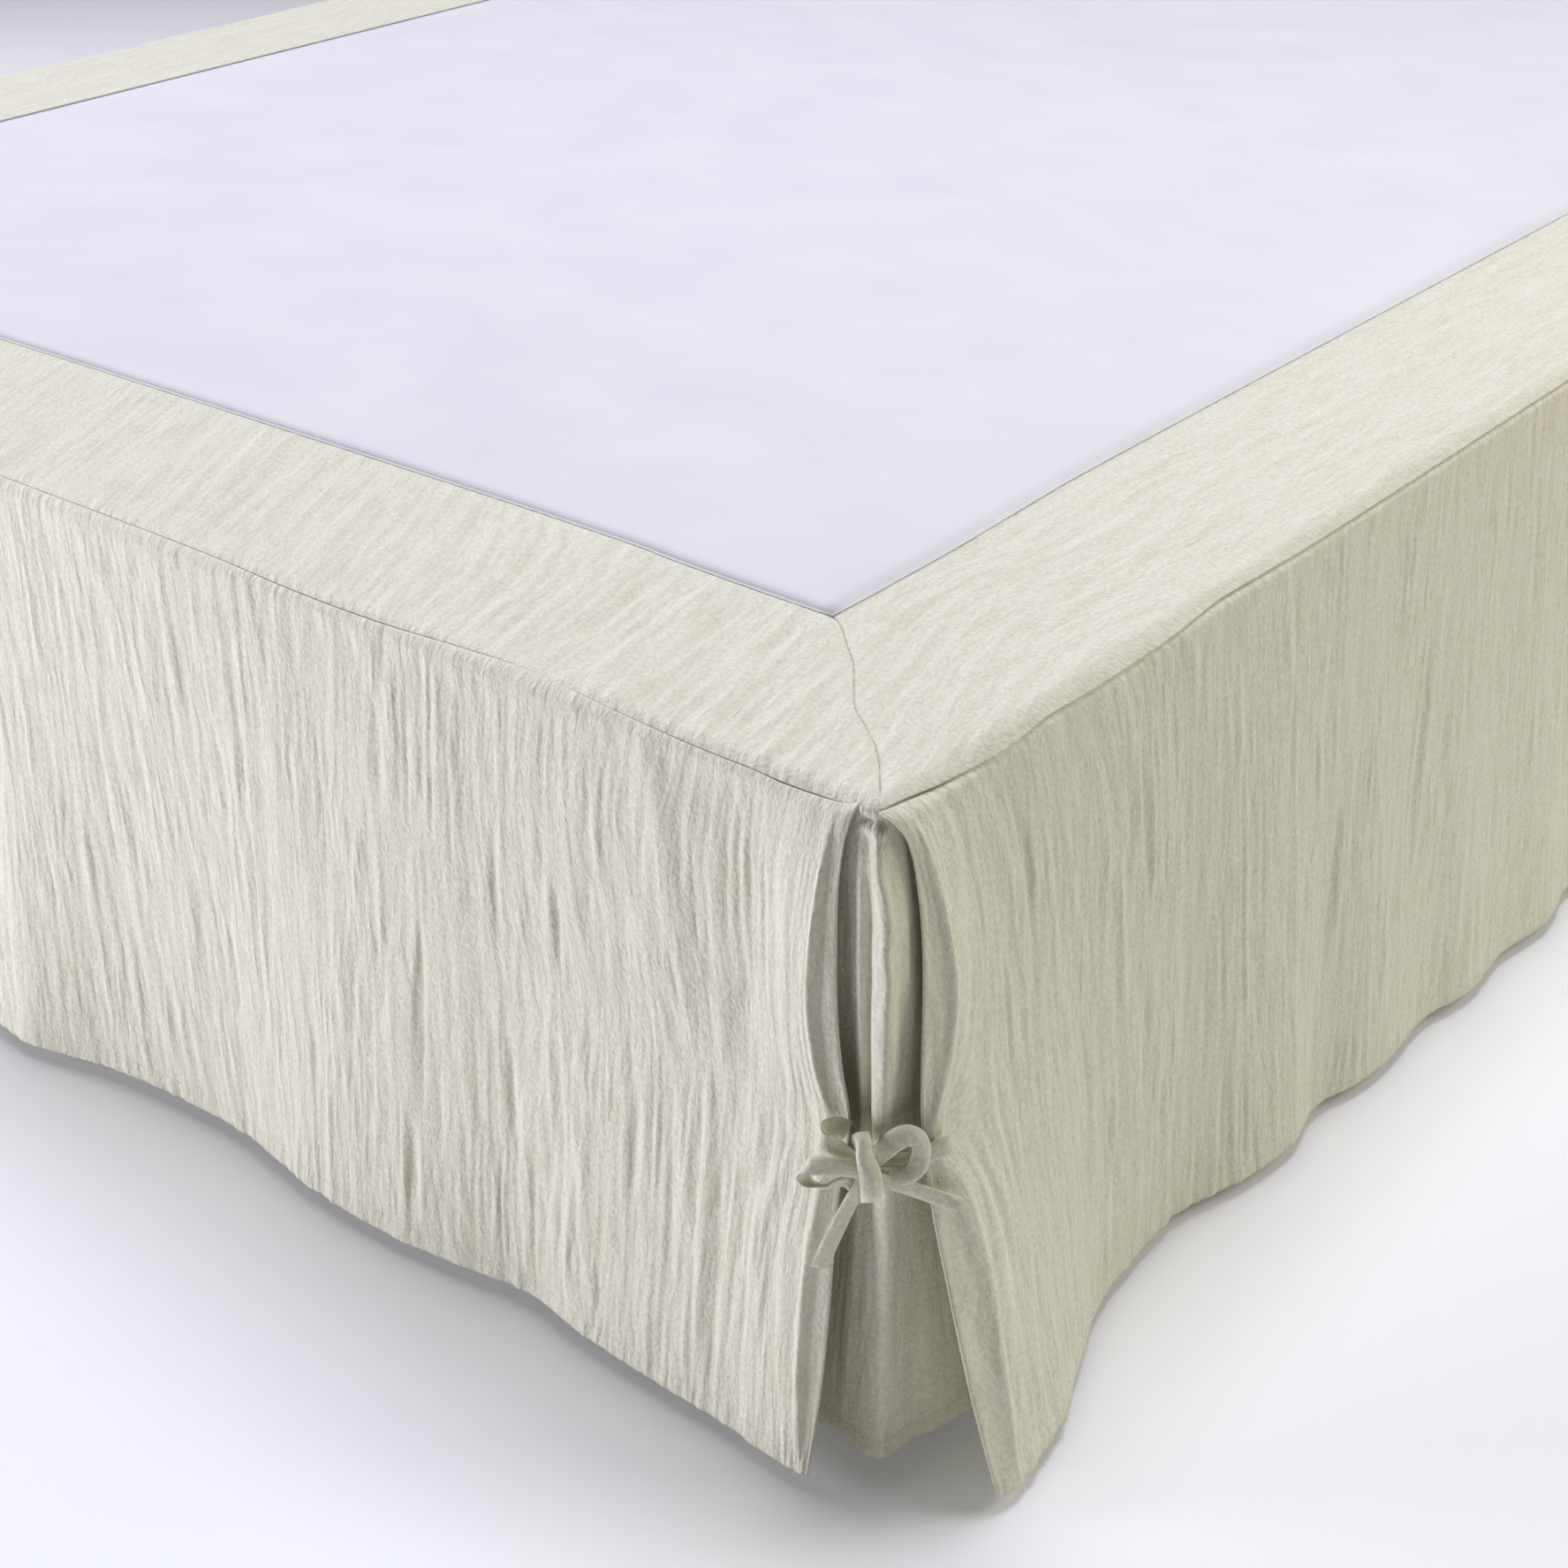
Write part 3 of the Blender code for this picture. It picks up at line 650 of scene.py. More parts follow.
# %% Main creases of the seen drops
# Distance from the seen corner, depth, the same for the other end, bow, height and width, in mm.
FOOT_CREASES = creases_in([
    (98, 205, 104, 390, 4, 1.5, 5), (91, 225, 94, 380, 1.5, -1.7, 4), (118, 215, 122, 330, 0, 0.9, 4),
    (112, 215, 111, 280, 0, -1.0, 3), (132, 220, 132, 250, 0, -1.0, 3),
    (128, 250, 127, 335, 1, -1.3, 3.5), (152, 220, 157, 292, 1, -1.8, 3.5),
    (160, 212, 164, 300, 1, 1.1, 4), (216, 120, 213, 172, 0, -2.0, 3), (221, 118, 219, 172, 0, 1.2, 4),
    (263, 92, 262, 160, 1, -1.7, 3), (226, 80, 225, 120, 0, -1.0, 3), (192, 105, 191, 128, 0, -1.0, 3),
    (180, 36, 181, 62, 0, -0.8, 3), (253, 222, 250, 308, 1, -1.8, 3.5), (261, 208, 260, 300, 1, 1.2, 4),
    (239, 292, 237, 335, 0, -1.1, 3), (267, 292, 266, 335, 0, -1.1, 3),
    (321, 176, 323, 288, 1, -1.8, 3.5), (332, 312, 330, 368, 0, -2.4, 4.5),
    (324, 330, 323, 392, 0, 1.4, 4), (309, 265, 309, 322, 0, -1.1, 3), (352, 72, 351, 108, 0, -1.0, 3),
    (360, 48, 355, 198, 1, 1.0, 4), (366, 228, 365, 270, 0, -1.0, 3), (392, 192, 384, 336, 1, 1.2, 5),
    (228, 26, 231, 112, 1, 0.8, 4), (149, 8, 125, 170, -5, 1.7, 9), (131, 40, 115, 122, -1, -1.4, 7),
    (56, 68, 56, 135, 0, 0.5, 4), (221, 181, 221, 280, 0, 0.9, 4), (214, 218, 214, 282, 0, -1.0, 3),
    (206, 242, 198, 334, -4, 1.2, 5), (184, 348, 177, 392, 0, -1.1, 3), (190, 350, 184, 374, 0, 0.9, 4),
    (259, 356, 253, 391, 0, -1.1, 3), (242, 335, 242, 354, 0, -1.0, 3), (40, 206, 64, 300, 5, 1.5, 7),
    (34, 236, 31, 362, 2, 1.3, 6), (47, 204, 78, 252, -3, -1.4, 6), (61, 197, 24, 200, 2, -1.3, 4),
    (75, 313, 51, 311, 0, 0.4, 5), (56, 192, 70, 192, 0, 0.7, 9), (483, 55, 482, 202, -8, -1.7, 3.5),
    (532, 245, 529, 290, 0, -1.6, 3.5), (500, 248, 492, 322, 2, -1.7, 3.5),
    (470, 290, 470, 325, 0, -1.1, 3.5), (417, 281, 416, 322, 0, -1.1, 3.5),
    (590, 175, 590, 219, 0, -1.1, 3.5), (618, 155, 612, 195, 0, -1.1, 3.5),
    (497, 121, 490, 189, 0, -1.1, 3.5), (578, 251, 577, 282, 0, -1.1, 3.5),
    (638, 225, 622, 375, 2, 1.3, 5), (598, 211, 575, 352, 3, 1.2, 5), (670, 195, 653, 332, 2, 1.1, 5),
    (655, 206, 655, 235, 0, -1.0, 4), (519, 251, 465, 219, -3, -1.2, 5),
    (540, 352, 523, 378, 0, -1.2, 8),
])
RIGHT_CREASES = creases_in([
    (97, 20, 107, 170, 9, -1.8, 3.5), (133, 103, 130, 174, 0, 1.4, 4), (140, 122, 140, 137, 0, -1.0, 3),
    (159, 98, 159, 122, 0, -1.0, 3), (172, 95, 172, 124, 0, -1.0, 3), (167, 134, 167, 156, 0, -1.0, 3),
    (183, 88, 183, 124, 0, -1.0, 3), (191, 120, 192, 157, 0, -1.1, 3), (197, 118, 200, 252, 2, 1.6, 4),
    (222, 65, 229, 158, 0, -1.8, 3.5), (217, 76, 217, 141, 0, 1.1, 4), (232, 76, 233, 155, 0, 1.1, 4),
    (225, 215, 225, 289, 1, -2.4, 4.5), (247, 131, 247, 155, 0, -1.0, 3),
    (303, 51, 304, 138, 1, -1.8, 3.5), (163, 176, 162, 310, 3, 1.3, 5),
    (157, 304, 157, 280, 0, -1.1, 3), (157, 306, 147, 318, 0, -1.0, 3),
    (167, 318, 167, 341, 0, -1.0, 3), (250, 278, 244, 322, 0, -1.2, 3.5),
    (294, 193, 290, 307, 0, -1.1, 3), (310, 318, 305, 369, 0, -1.1, 3), (51, 220, 54, 280, 0, 1.1, 5),
    (75, 293, 72, 335, 0, -1.1, 3.5), (111, 262, 111, 302, 0, 1.0, 4), (97, 270, 97, 307, 0, 1.0, 4),
    (189, 265, 189, 307, 0, 1.0, 4), (197, 276, 197, 296, 0, -1.0, 3),
    (380, 90, 380, 157, 0, -1.2, 3.5), (30, 234, 30, 330, 2, 1.2, 6), (67, 9, 94, 71, 1, 0.9, 4),
    (139, 9, 167, 85, -1, 0.9, 4), (155, 12, 180, 85, 0, 0.9, 4), (44, 100, 22, 186, 6, -1.4, 4),
    (60, 150, 24, 190, 4, 0.9, 5), (62, 215, 24, 196, -2, 0.9, 5), (565, 94, 531, 282, -5, -2.4, 4.5),
    (573, 94, 527, 322, -4, 1.6, 5), (577, 173, 573, 219, 0, -1.1, 3.5),
    (441, 140, 441, 169, 0, -1.1, 3.5), (462, 173, 450, 252, 0, -1.3, 3.5),
    (446, 198, 433, 285, 1, 1.1, 5), (604, 94, 592, 160, 0, 1.0, 5), (608, 152, 602, 202, 0, -1.2, 3.5),
    (485, 181, 492, 244, 0, 1.0, 5), (687, 240, 683, 302, -4, -1.7, 4),
    (646, 248, 637, 327, 3, -1.3, 4),
])
print("creases:", len(FOOT_CREASES), "on the foot's drop,", len(RIGHT_CREASES), "on the right one")

# %% Creases of the other stretches
TABLE_END, CORNER_CLEAR = 0.70, 0.06      # where the tables end, and what a corner keeps clear
CREASE_SPACING = 0.021
CREASE_LENGTHS, RIDGE_SHARE = (25, 150), 0.4
RIDGE_HEIGHTS, RIDGE_WIDTHS = (0.8, 1.5), (4, 6.5)
TROUGH_DEPTHS, TROUGH_WIDTHS = (0.9, 2.0), (3, 4.5)


def scattered_creases(start, end, seed):
    """Creases of the same kinds for a stretch of a side, in mm, the same ones each run."""
    dice = np.random.default_rng(seed)
    made = []
    for _ in range(round((end - start) / CREASE_SPACING)):
        x, y = dice.uniform(start, end) / MM, dice.uniform(0.04, 0.75) * DROP / MM
        long = dice.uniform(*CREASE_LENGTHS)
        ridge = dice.random() < RIDGE_SHARE
        height = dice.uniform(*RIDGE_HEIGHTS) if ridge else -dice.uniform(*TROUGH_DEPTHS)
        width = dice.uniform(*RIDGE_WIDTHS) if ridge else dice.uniform(*TROUGH_WIDTHS)
        to_x, to_y = x + dice.uniform(-0.09, 0.09) * long, min(y + long, DROP / MM - 10)
        made.append(Crease(x, y, to_x, to_y, dice.uniform(-3, 3), height, width))
    return made


SEEN_CREASES = {
    "foot": FOOT_CREASES + scattered_creases(TABLE_END, BED_WIDTH - CORNER_CLEAR, 11),
    "right": RIGHT_CREASES + scattered_creases(TABLE_END, BED_LENGTH - CORNER_CLEAR, 12),
    "head": scattered_creases(CORNER_CLEAR, BED_WIDTH - CORNER_CLEAR, 13),
    "left": scattered_creases(CORNER_CLEAR, BED_LENGTH - CORNER_CLEAR, 14),
}
print("creases in all:", sum(len(found) for found in SEEN_CREASES.values()))

# %% Folds of a hem and plan of a drop
def hem_folds(side):
    """Places and distances out of all folds of a side's hem, from its first corner to its last."""
    def livened(places, outs):
        own = np.minimum(places / (CORNER_REACH * FLAP), 1.0)
        return FLARE + (outs - FLARE) * (1 + (side.liveliness - 1) * own)

    first, last = FOLDS_AFTER_CORNER, FOLDS_BEFORE_CORNER[::-1]
    places = [*first[:, 0]]
    outs = [*livened(first[:, 0], first[:, 1])]
    end = side.length - last[0, 0]
    span = end - places[-1]
    start = places[-1]
    rng = random.Random(FOLD_SEED + side.heading)
    count = max(1, round(span / FOLD_PITCH))
    for n in range(1, count):
        swing = (-1) ** n * rng.uniform(*MID_SWING) * MM
        places.append(start + span * n / count)
        outs.append(FLARE + MID_LEAN + swing * side.liveliness)
    places += [*(side.length - last[:, 0])]
    outs += [*livened(last[:, 0], last[:, 1])]
    return np.array(places), np.array(outs)


def lean(depth, hem_out):
    """How far a drop hangs out at a depth, where its hem hangs hem_out."""
    t = depth / DROP
    return FLARE * t**FLARE_POWER + (hem_out - FLARE) * t**FOLD_POWER


def flap_points(table, cloth, depth, folds_at):
    """Plan points (along, out) of a flap at one depth, for cloth measured from its free edge."""
    edge = curve_through(table[:, 0], table[:, 1:3], [depth])[0]
    ridge = curve_through(table[:, 0], table[:, 3:5], [depth])[0]
    ends = [FLAP, FLAP * LAST_KNOT]
    plain = [np.array([a, lean(depth, folds_at(a))]) for a in ends]
    return curve_through([0.0, RIDGE, *ends], [edge, ridge, *plain], cloth)


def drop_points(side, along, shoulders, depths):
    """Points of a drop's plain folds, for rows of places: how far in and how deep each is."""
    places, outs = hem_folds(side)
    hem = curve_through(places, outs, along)
    first = along < FLAP
    last = along > side.length - FLAP
    rows = []
    for shoulder, depth in zip(shoulders, depths):
        plan = np.stack([along, lean(depth, hem)], axis=1)
        plan[first] = flap_points(
            FLAP_AFTER_CORNER, along[first], depth[0], lambda a: curve_through(places, outs, [a])[0])
        far = flap_points(
            FLAP_BEFORE_CORNER, side.length - along[last], depth[-1],
            lambda a: curve_through(places, outs, [side.length - a])[0])
        plan[last] = far * (-1, 1) + (side.length, 0)
        rows.append(on_side(side, plan[:, 0], plan[:, 1] + shoulder, depth))
    return np.array(rows)


def over_edge(turn):
    """How far out and down the cloth is, once it has turned that many degrees over the edge."""
    angle = np.radians(turn)
    return SHOULDER * (np.sin(angle) - 1), SHOULDER * (1 - np.cos(angle))


print("hem of the foot's drop:", len(hem_folds(SIDES[0])[0]), "folds")

# %% Where the drop's seam runs
# Distance from the nearer corner in mm, and how many degrees over the edge the seam lies there.
SHORT_SEAM = np.array([
    (0, 40), (10, 54), (30, 62), (60, 65), (80, 60), (110, 58), (143, 52), (190, 38), (243, 20),
    (290, 30), (350, 46), (420, 48), (500, 36), (700, 34),
])
LONG_SEAM = np.array([
    (0, 40), (20, 50), (32, 58), (45, 66), (70, 76), (92, 84), (117, 78), (135, 68), (165, 74),
    (200, 76), (250, 71), (300, 54), (340, 58), (420, 66), (700, 66),
])


def seam_turn(side, along):
    """Degrees that the seam lies over the bed's edge, at places along a side."""
    table = SHORT_SEAM if side.length == BED_WIDTH else LONG_SEAM
    return read_table(table, np.minimum(along, side.length - along) / MM)


print("the foot's seam, 30 and 240 mm from a corner:", seam_turn(SIDES[0], np.array([0.03, 0.24])))

# %% How the crinkle runs on a drop
# In these functions a is the distance from a corner, and d is the depth, in metres.
TIE_ROOT = {"before": (0.024, 0.196), "after": (0.018, 0.188)}      # where a tie is sewn on: a, d
SLANT, SETTLE = 0.6, 0.030      # how steeply ridges leave the seam, and how deep they turn down
LOW_SHIFT = {"before": 0.007, "after": 0.004}       # of the ridges below a tie
FAR_SLANT = {"before": 0.10, "after": 0.13}         # of the ridges away from it
PUCKER_HEIGHT = 1.3 * MM


def upper_shift(kind, a, d):
    """How far along a ridge above the tie has moved at depth d, from where it leaves the seam."""
    near = smooth(a, 0.02, 0.06) * (1 - smooth(a, 0.20, 0.34))
    if kind == "before":
        return 0.006 * smooth(d, 0, 0.06) * near - 0.016 * smooth(d, 0.06, 0.20) * near
    leaving = SLANT * SETTLE * (1 - np.exp(-d / SETTLE))
    return leaving * near - 0.004 * smooth(d, 0.08, 0.20) * near


def lower_shift(kind, a, d):
    """The same for the ridges below the tie and away from it."""
    far = smooth(a, 0.36, 0.52)
    below = smooth(d, 0.19, 0.40) * (1 - smooth(a, 0.22, 0.34))
    return LOW_SHIFT[kind] * below - FAR_SLANT[kind] * d * far


def puckers(a, d, kind, seed):
    """Small creases that run out from where a tie is sewn on."""
    x, y = TIE_ROOT[kind]
    reach, turn = np.hypot(a - x, d - y), np.arctan2(d - y, a - x)
    fade = smooth(reach, 0.003, 0.012) * hill(reach, 0, 0.040)
    return PUCKER_HEIGHT * fade * noise(turn * 3.1 + 40, reach / 0.05 + 9, seed)


# How deep a drop dips into its seam, and how much its edge stands up beside it, in mm.
SEAM_DIP = {"foot": 0.28, "right": 0.80, "head": 0.28, "left": 0.80}
SEAM_ROLL = {"foot": 0.10, "right": 0.55, "head": 0.10, "left": 0.55}
DIP_WIDTH = 1.9 * MM
ROLL_DEPTH, ROLL_WIDTH = 5.5 * MM, 3.2 * MM
GATHER_HEIGHT, GATHER_PITCH = 0.45 * MM, 6.5 * MM


def seam_gather(side, a, d, seed):
    """The cloth dips into its seam, and small gathers run down from it."""
    dip = -SEAM_DIP[side.name] * MM * hill(d, 0, DIP_WIDTH)
    roll = SEAM_ROLL[side.name] * MM * hill(d, ROLL_DEPTH, ROLL_WIDTH)
    lines = noise((a - 0.35 * d) / GATHER_PITCH, d / 0.05 + 5, seed)
    return dip + roll + GATHER_HEIGHT * lines * smooth(d, 0.001, 0.008) * hill(d, 0, 0.024)


HEM_RISE, HEM_GROOVE = 0.40 * MM, 0.40 * MM


def hem_fold(d):
    """The hem is turned up twice, so it is thicker, and its stitches pull a groove."""
    thicker = HEM_RISE * smooth(d, HEM_LINE - 0.0015, HEM_LINE + 0.0025)
    groove = -HEM_GROOVE * hill(d, HEM_LINE, GROOVE_WIDTH)
    return thicker + groove


moved = float(upper_shift("before", 0.1, 0.17))
print("a ridge 100 mm from the corner moves", round(moved / MM, 1), "mm")

# %% Build the drops
NEAR, MIDDLE = 0.36, 0.80
CLOSE_STEP, MIDDLE_STEP, FAR_STEP, PLAIN_STEP = 1.4 * MM, 2.1 * MM, 8.0 * MM, 6.4 * MM
ROW_STEPS = [(0.012, 0.0024), (0.140, 0.0085), (0.250, 0.0062), (0.378, 0.0085), (DROP, 0.0031)]
EDGE_ROWS = 7                                         # round the bed's edge
HEM_ROWS = [HEM_LINE, 0.3915, 0.3945, 0.3975, DROP]
UPPER_SEED, LOWER_SEED, SEAM_SEED = 30, 40, 50        # each side adds its heading
PUCKER_SEEDS = {"before": 5, "after": 6}


def drop_columns(side):
    """Places along a drop's cloth: close to the seen corner they are close together."""
    if side.name not in SEEN_SIDES:
        return spaced([(side.length, PLAIN_STEP)])
    places = spaced([(NEAR, CLOSE_STEP), (MIDDLE, MIDDLE_STEP), (side.length, FAR_STEP)])
    return side.length - places[::-1] if side.name == "foot" else places


def drop_rows(side, along):
    """How far in and how deep a drop's rows are: round the bed's edge, then down to the hem."""
    start = seam_turn(side, along) + SEAM_CLEAR_TURN
    inwards, over = over_edge(start + (90 - start) * np.linspace(0, 1, EDGE_ROWS)[:, None])
    down = SHOULDER + spaced(ROW_STEPS)[1:]
    down = np.append(down[down < HEM_LINE - 0.002], HEM_ROWS)
    straight = down[:, None] + 0 * along
    return np.vstack([inwards, 0 * straight]), np.vstack([over, straight])


# Broad forms beside a tied corner, as creases: from the corner, depth, bow, height, width, in mm.
FLAP_FORMS = {
    "before": creases_in([
        (17, 8, 17, 174, 0, 2.3, 2.3), (18, 201, 17, 392, 0, 2.1, 2.8),
        (10, 16, 10, 182, 0, -2.2, 4.2), (10, 210, 10, 390, 0, -1.8, 4.5),
        (86, 12, 70, 168, -6, -3.2, 30), (150, 4, 140, 160, -4, 1.4, 13),
    ]),
    "after": creases_in([
        (18, 14, 17, 174, 0, 2.0, 2.6), (20, 201, 18, 392, 0, 2.0, 3.2),
        (10, 22, 10, 182, 0, -1.6, 4.5), (10, 210, 10, 390, 0, -1.6, 4.5),
        (62, 30, 44, 170, -6, -1.8, 16),
    ]),
}


RIM_HEIGHT, RIM_PLACE, RIM_WIDTH = 0.8 * MM, 1.6 * MM, 1.7 * MM


def flap_form(a, depth, kind):
    """The flap's turned edge: a rolled rim, a soft hollow, and the ridge where it turns in."""
    near = 1 - smooth(a, 0.18, 0.24)
    rim = RIM_HEIGHT * hill(a, RIM_PLACE, RIM_WIDTH) * smooth(depth, 0.01, 0.03)
    return near * (rim + MM * crease_height(FLAP_FORMS[kind], a / MM, depth / MM))


TIED, FREE = 0.20, 0.30                       # how far from a corner a tie draws the cloth
ABOVE_TIE, TIE_DEPTH, BELOW_TIE = 0.160, 0.182, 0.205
TIE_CALM, EDGE_CALM = 0.6, 0.45                 # how much crinkle is gone by a tie and an edge


def drop_height(side, along, depth):
    """Height of everything finer than the folds, for a drop's grid, and its grain's place."""
    from_last = side.length - along
    near_last = from_last < along
    a = np.where(near_last, from_last, along)

    def start_of(shift):
        """Where each point's ridge starts, from a shift that is measured from a corner."""
        before, after = shift("before", from_last, depth), shift("after", along, depth)
        return along + np.where(near_last, before, -after)

    upper, lower = start_of(upper_shift), start_of(lower_shift)
    tied = 1 - smooth(a, TIED, FREE)
    share = 1 - tied * (1 - smooth(depth, ABOVE_TIE, BELOW_TIE))
    height = (1 - share) * crinkle(upper, depth, UPPER_SEED + side.heading)
    height += share * crinkle(lower, depth, LOWER_SEED + side.heading)
    calm = 1 - TIE_CALM * tied * hill(depth, TIE_DEPTH, 0.020)
    quiet = 1 - EDGE_CALM * hill(a, 0, 0.030)
    height *= quiet * calm * smooth(depth, 0, 0.03)
    corner_side = from_last if side.name == "foot" else along
    height += MM * crease_height(SEEN_CREASES[side.name], corner_side / MM, depth / MM)
    roots = {"before": from_last, "after": along}
    height += sum(puckers(roots[kind], depth, kind, seed) for kind, seed in PUCKER_SEEDS.items())
    height += seam_gather(side, along, depth - depth[0], SEAM_SEED + side.heading)
    height += flap_form(from_last, depth, "before") + flap_form(along, depth, "after") + hem_fold(depth)
    return height, upper + lower - along


drops, hem_lines = {}, {}
for side in SIDES:
    along = drop_columns(side)
    outward = on_side(side, 0, 1, 0) - on_side(side, 0, 0, 0)
    shoulders, grid_depth = drop_rows(side, along)
    base = drop_points(side, along, shoulders, grid_depth)
    grid_along = along + 0 * grid_depth
    height, grain = drop_height(side, grid_along, grid_depth)
    normal = normals_of(base, outward)
    laid = base + normal * height[..., None]
    uv = np.stack([grain, -grid_depth], axis=-1)
    drops[side.name] = add_cloth(f"{side.name}_drop", laid, uv, outward, gauze)
    row = int(np.argmin(np.abs(grid_depth[:, 0] - HEM_LINE)))
    hem_lines[side.name] = laid[row] + normal[row] * STITCH_LIFT
    lowest, highest = np.round([height.min() / MM, height.max() / MM], 1)
    print(side.name, "drop:", laid.shape[:2], "points, height", lowest, "to", highest, "mm")

# %% [markdown]
# ## The border
# Four strips of gauze frame the decking, mitred at the corners. Their threads all run along the
# bed, so the crinkle crosses the strips at the foot and head and follows the long ones. A strip is
# sewn down along both edges: it dips into each seam, and the seam gathers it a little. Because the
# pattern doesn't turn at a corner, one map of creases in the bed's own frame covers all of it.

# %% Main creases of the border
# East and north of the seen corner, the same for the other end, bow, height and width, in mm.
TOP_CREASES = creases_in([
    (-282, 152, -274, 120, 0, -1.1, 3), (-283, 110, -261, 20, -3, -1.2, 3),
    (-263, 133, -247, 67, 1, -1.6, 3.5), (-266, 101, -251, 60, 0, -1.0, 3),
    (-195, 127, -189, 76, 0, -1.1, 3), (-179, 77, -160, 9, 1, -1.6, 3.5),
    (-160, 139, -149, 70, 1, -1.4, 3.5), (-120, 110, -113, 76, 0, -1.0, 3),
    (-126, 60, -114, 12, 1, -1.5, 3.5), (-94, 86, -66, -4, 1, -1.9, 4),
    (-238, 139, -236, 117, 0, -1.0, 3), (-292, 66, -276, 14, 0, -1.0, 3),
    (-414, 92, -385, 41, 0, -1.1, 3.5), (-345, 130, -322, 70, 0, -0.9, 3.5),
    (-360, 60, -340, 15, 0, -0.9, 3.5), (-222, 80, -208, 22, 0, 0.9, 4), (-104, 60, -96, 22, 0, 0.8, 4),
    (-470, 120, -430, 50, 0, -1.0, 4), (-520, 90, -478, 30, 0, -1.1, 4),
    (-575, 130, -540, 75, 0, -1.0, 4), (-630, 90, -590, 30, 0, -1.1, 4),
    (-69, 292, -63, 247, 0, -1.4, 3), (-90, 278, -87, 230, 1, -1.2, 3),
    (-139, 284, -139, 265, 0, -1.0, 3), (-24, 228, -24, 194, 0, -1.0, 3),
    (-47, 416, -47, 350, 0, -1.0, 3.5), (-40, 166, -37, 133, 0, -1.0, 3),
    (-55, 335, -31, 330, 0, -0.7, 4), (-149, 343, -105, 340, 0, -0.7, 4),
    (-93, 401, -64, 396, 0, -0.7, 4), (-127, 275, -127, 250, 0, 0.7, 4),
    (-101, 334, -101, 277, 0, 0.8, 4), (-85, 210, -85, 165, 0, 0.7, 4),
    (-155, 153, -120, 153, 2, -1.2, 4), (-152, 160, -100, 160, 0, -0.6, 3.5),
    (-96, 133, -55, 122, 0, -0.8, 4), (-118, 470, -112, 400, 0, -1.0, 4),
    (-60, 540, -66, 470, 0, -1.0, 4), (-100, 620, -96, 560, 0, -1.0, 4),
])
# Distance in from the edge, and how far the mitre bows off its diagonal.
MITRE_BOW = np.array([
    (-2, 0), (8, 0), (18, 1.4), (31, 3.5), (44, 4.2), (60, 2.1), (75, -0.7), (92, 1.4), (111, 4.2),
    (128, 3.5), (145, 3.0), (153, 0),
]) * MM
# Distance from the seen corner, and how far the decking's seam bows inwards.
SEAM_BOWS = {
    "foot": np.array([
        (153, 0), (220, 2), (280, 5), (300, 7), (420, 9), (800, 8), (1200, 4), (1447, 0),
    ]) * MM,
    "right": np.array([
        (153, 0), (200, 0), (270, 1), (340, 4), (400, 6), (800, 5), (1847, 0),
    ]) * MM,
}
print("creases of the border:", len(TOP_CREASES))

# %% How the border is drawn out of true
def bow_shift(x, y):
    """How far points of the top, measured from the seen corner, move off the straight seams."""
    inset, off = (y - x) / 2, (x + y) / math.sqrt(2)
    bow = read_table(MITRE_BOW, inset)
    bow *= hill(off, 0, 0.030) * smooth(-x, -0.002, 0.004) / math.sqrt(2)
    foot, right = read_table(SEAM_BOWS["foot"], -x), read_table(SEAM_BOWS["right"], y)
    north = foot * hill(y, BAND_WIDTH, 0.075) * smooth(-x, 0.150, 0.170)
    west = right * hill(x, -BAND_WIDTH, 0.075) * smooth(y, 0.150, 0.170)
    return bow - west, bow + north


TOP_SLANT, SLANT_END = 0.28, 0.15


def top_grain(x, y):
    """Where a point's ridge of crinkle leaves the foot's edge: the ridges slant there."""
    slant = TOP_SLANT + 0.27 * smooth(-x, 0.28, 0.42)
    past = smooth(y, SLANT_END, 2 * SLANT_END)
    return x + slant * y * (1 - past) + TOP_SLANT * SLANT_END * past


TOP_SHARE = 0.72        # the crinkle lies flatter there than on a drop


def top_height(x, y, seed):
    """Height of the border's crinkle and creases, from the seen corner."""
    height = TOP_SHARE * crinkle(top_grain(x, y), y, seed)
    return height + MM * crease_height(TOP_CREASES, x / MM, y / MM)


TOP_GATHER_HEIGHT, TOP_GATHER_PITCH = 0.30 * MM, 7 * MM


def edge_dip(reach, along, depth, seed):
    """A strip dips that many millimetres into its seam, reach away, and is gathered by it."""
    dip = -depth * MM * hill(reach, 0, DIP_WIDTH)
    lines = noise(along / TOP_GATHER_PITCH, reach / 0.05, seed)
    return dip + TOP_GATHER_HEIGHT * lines * hill(reach, 0, 0.016) * smooth(reach, 0, 0.004)


bowed = bow_shift(np.array([-0.42]), np.array([BAND_WIDTH]))[1][0]
print("the foot's seam bows", round(float(bowed) / MM, 1), "mm")

# %% Build the border
# Metres from column to column near the seen corner and away from it, and from row to row.
BAND_STEPS = {"seen": (0.0023, 0.0080, 0.0036), "plain": (0.0070, 0.0070, 0.0070)}
BAND_NEAR = 0.75
BAND_TURNS = np.array([0.18, 0.36, 0.54, 0.70, 0.82, 0.91, 1.0])      # shares of the seam's turn
SEAM_LIP = {"foot": 0.0, "right": 0.75, "head": 0.0, "left": 0.75}      # in mm
INNER_DIP, MITRE_DIP = 0.7, 0.6                                         # in mm
LIP_WIDTH, MITRE_WIDTH = 1.5 * MM, 1.8 * MM
BORDER_SEED, INNER_SEED, OUTER_SEED = 60, 71, 72


def band_rows(side, along, step):
    """How far out and how deep a strip's rows are, from the decking's seam to the drop's."""
    marks = [(0.006, 0.0012), (BAND_WIDTH - 0.014, step), (BAND_WIDTH - SHOULDER, 0.0016)]
    flat = (spaced(marks) - BAND_WIDTH)[:, None] + 0 * along
    out, depth = over_edge(seam_turn(side, along) * BAND_TURNS[:, None])
    return np.vstack([flat, out]), np.vstack([0 * flat, depth])


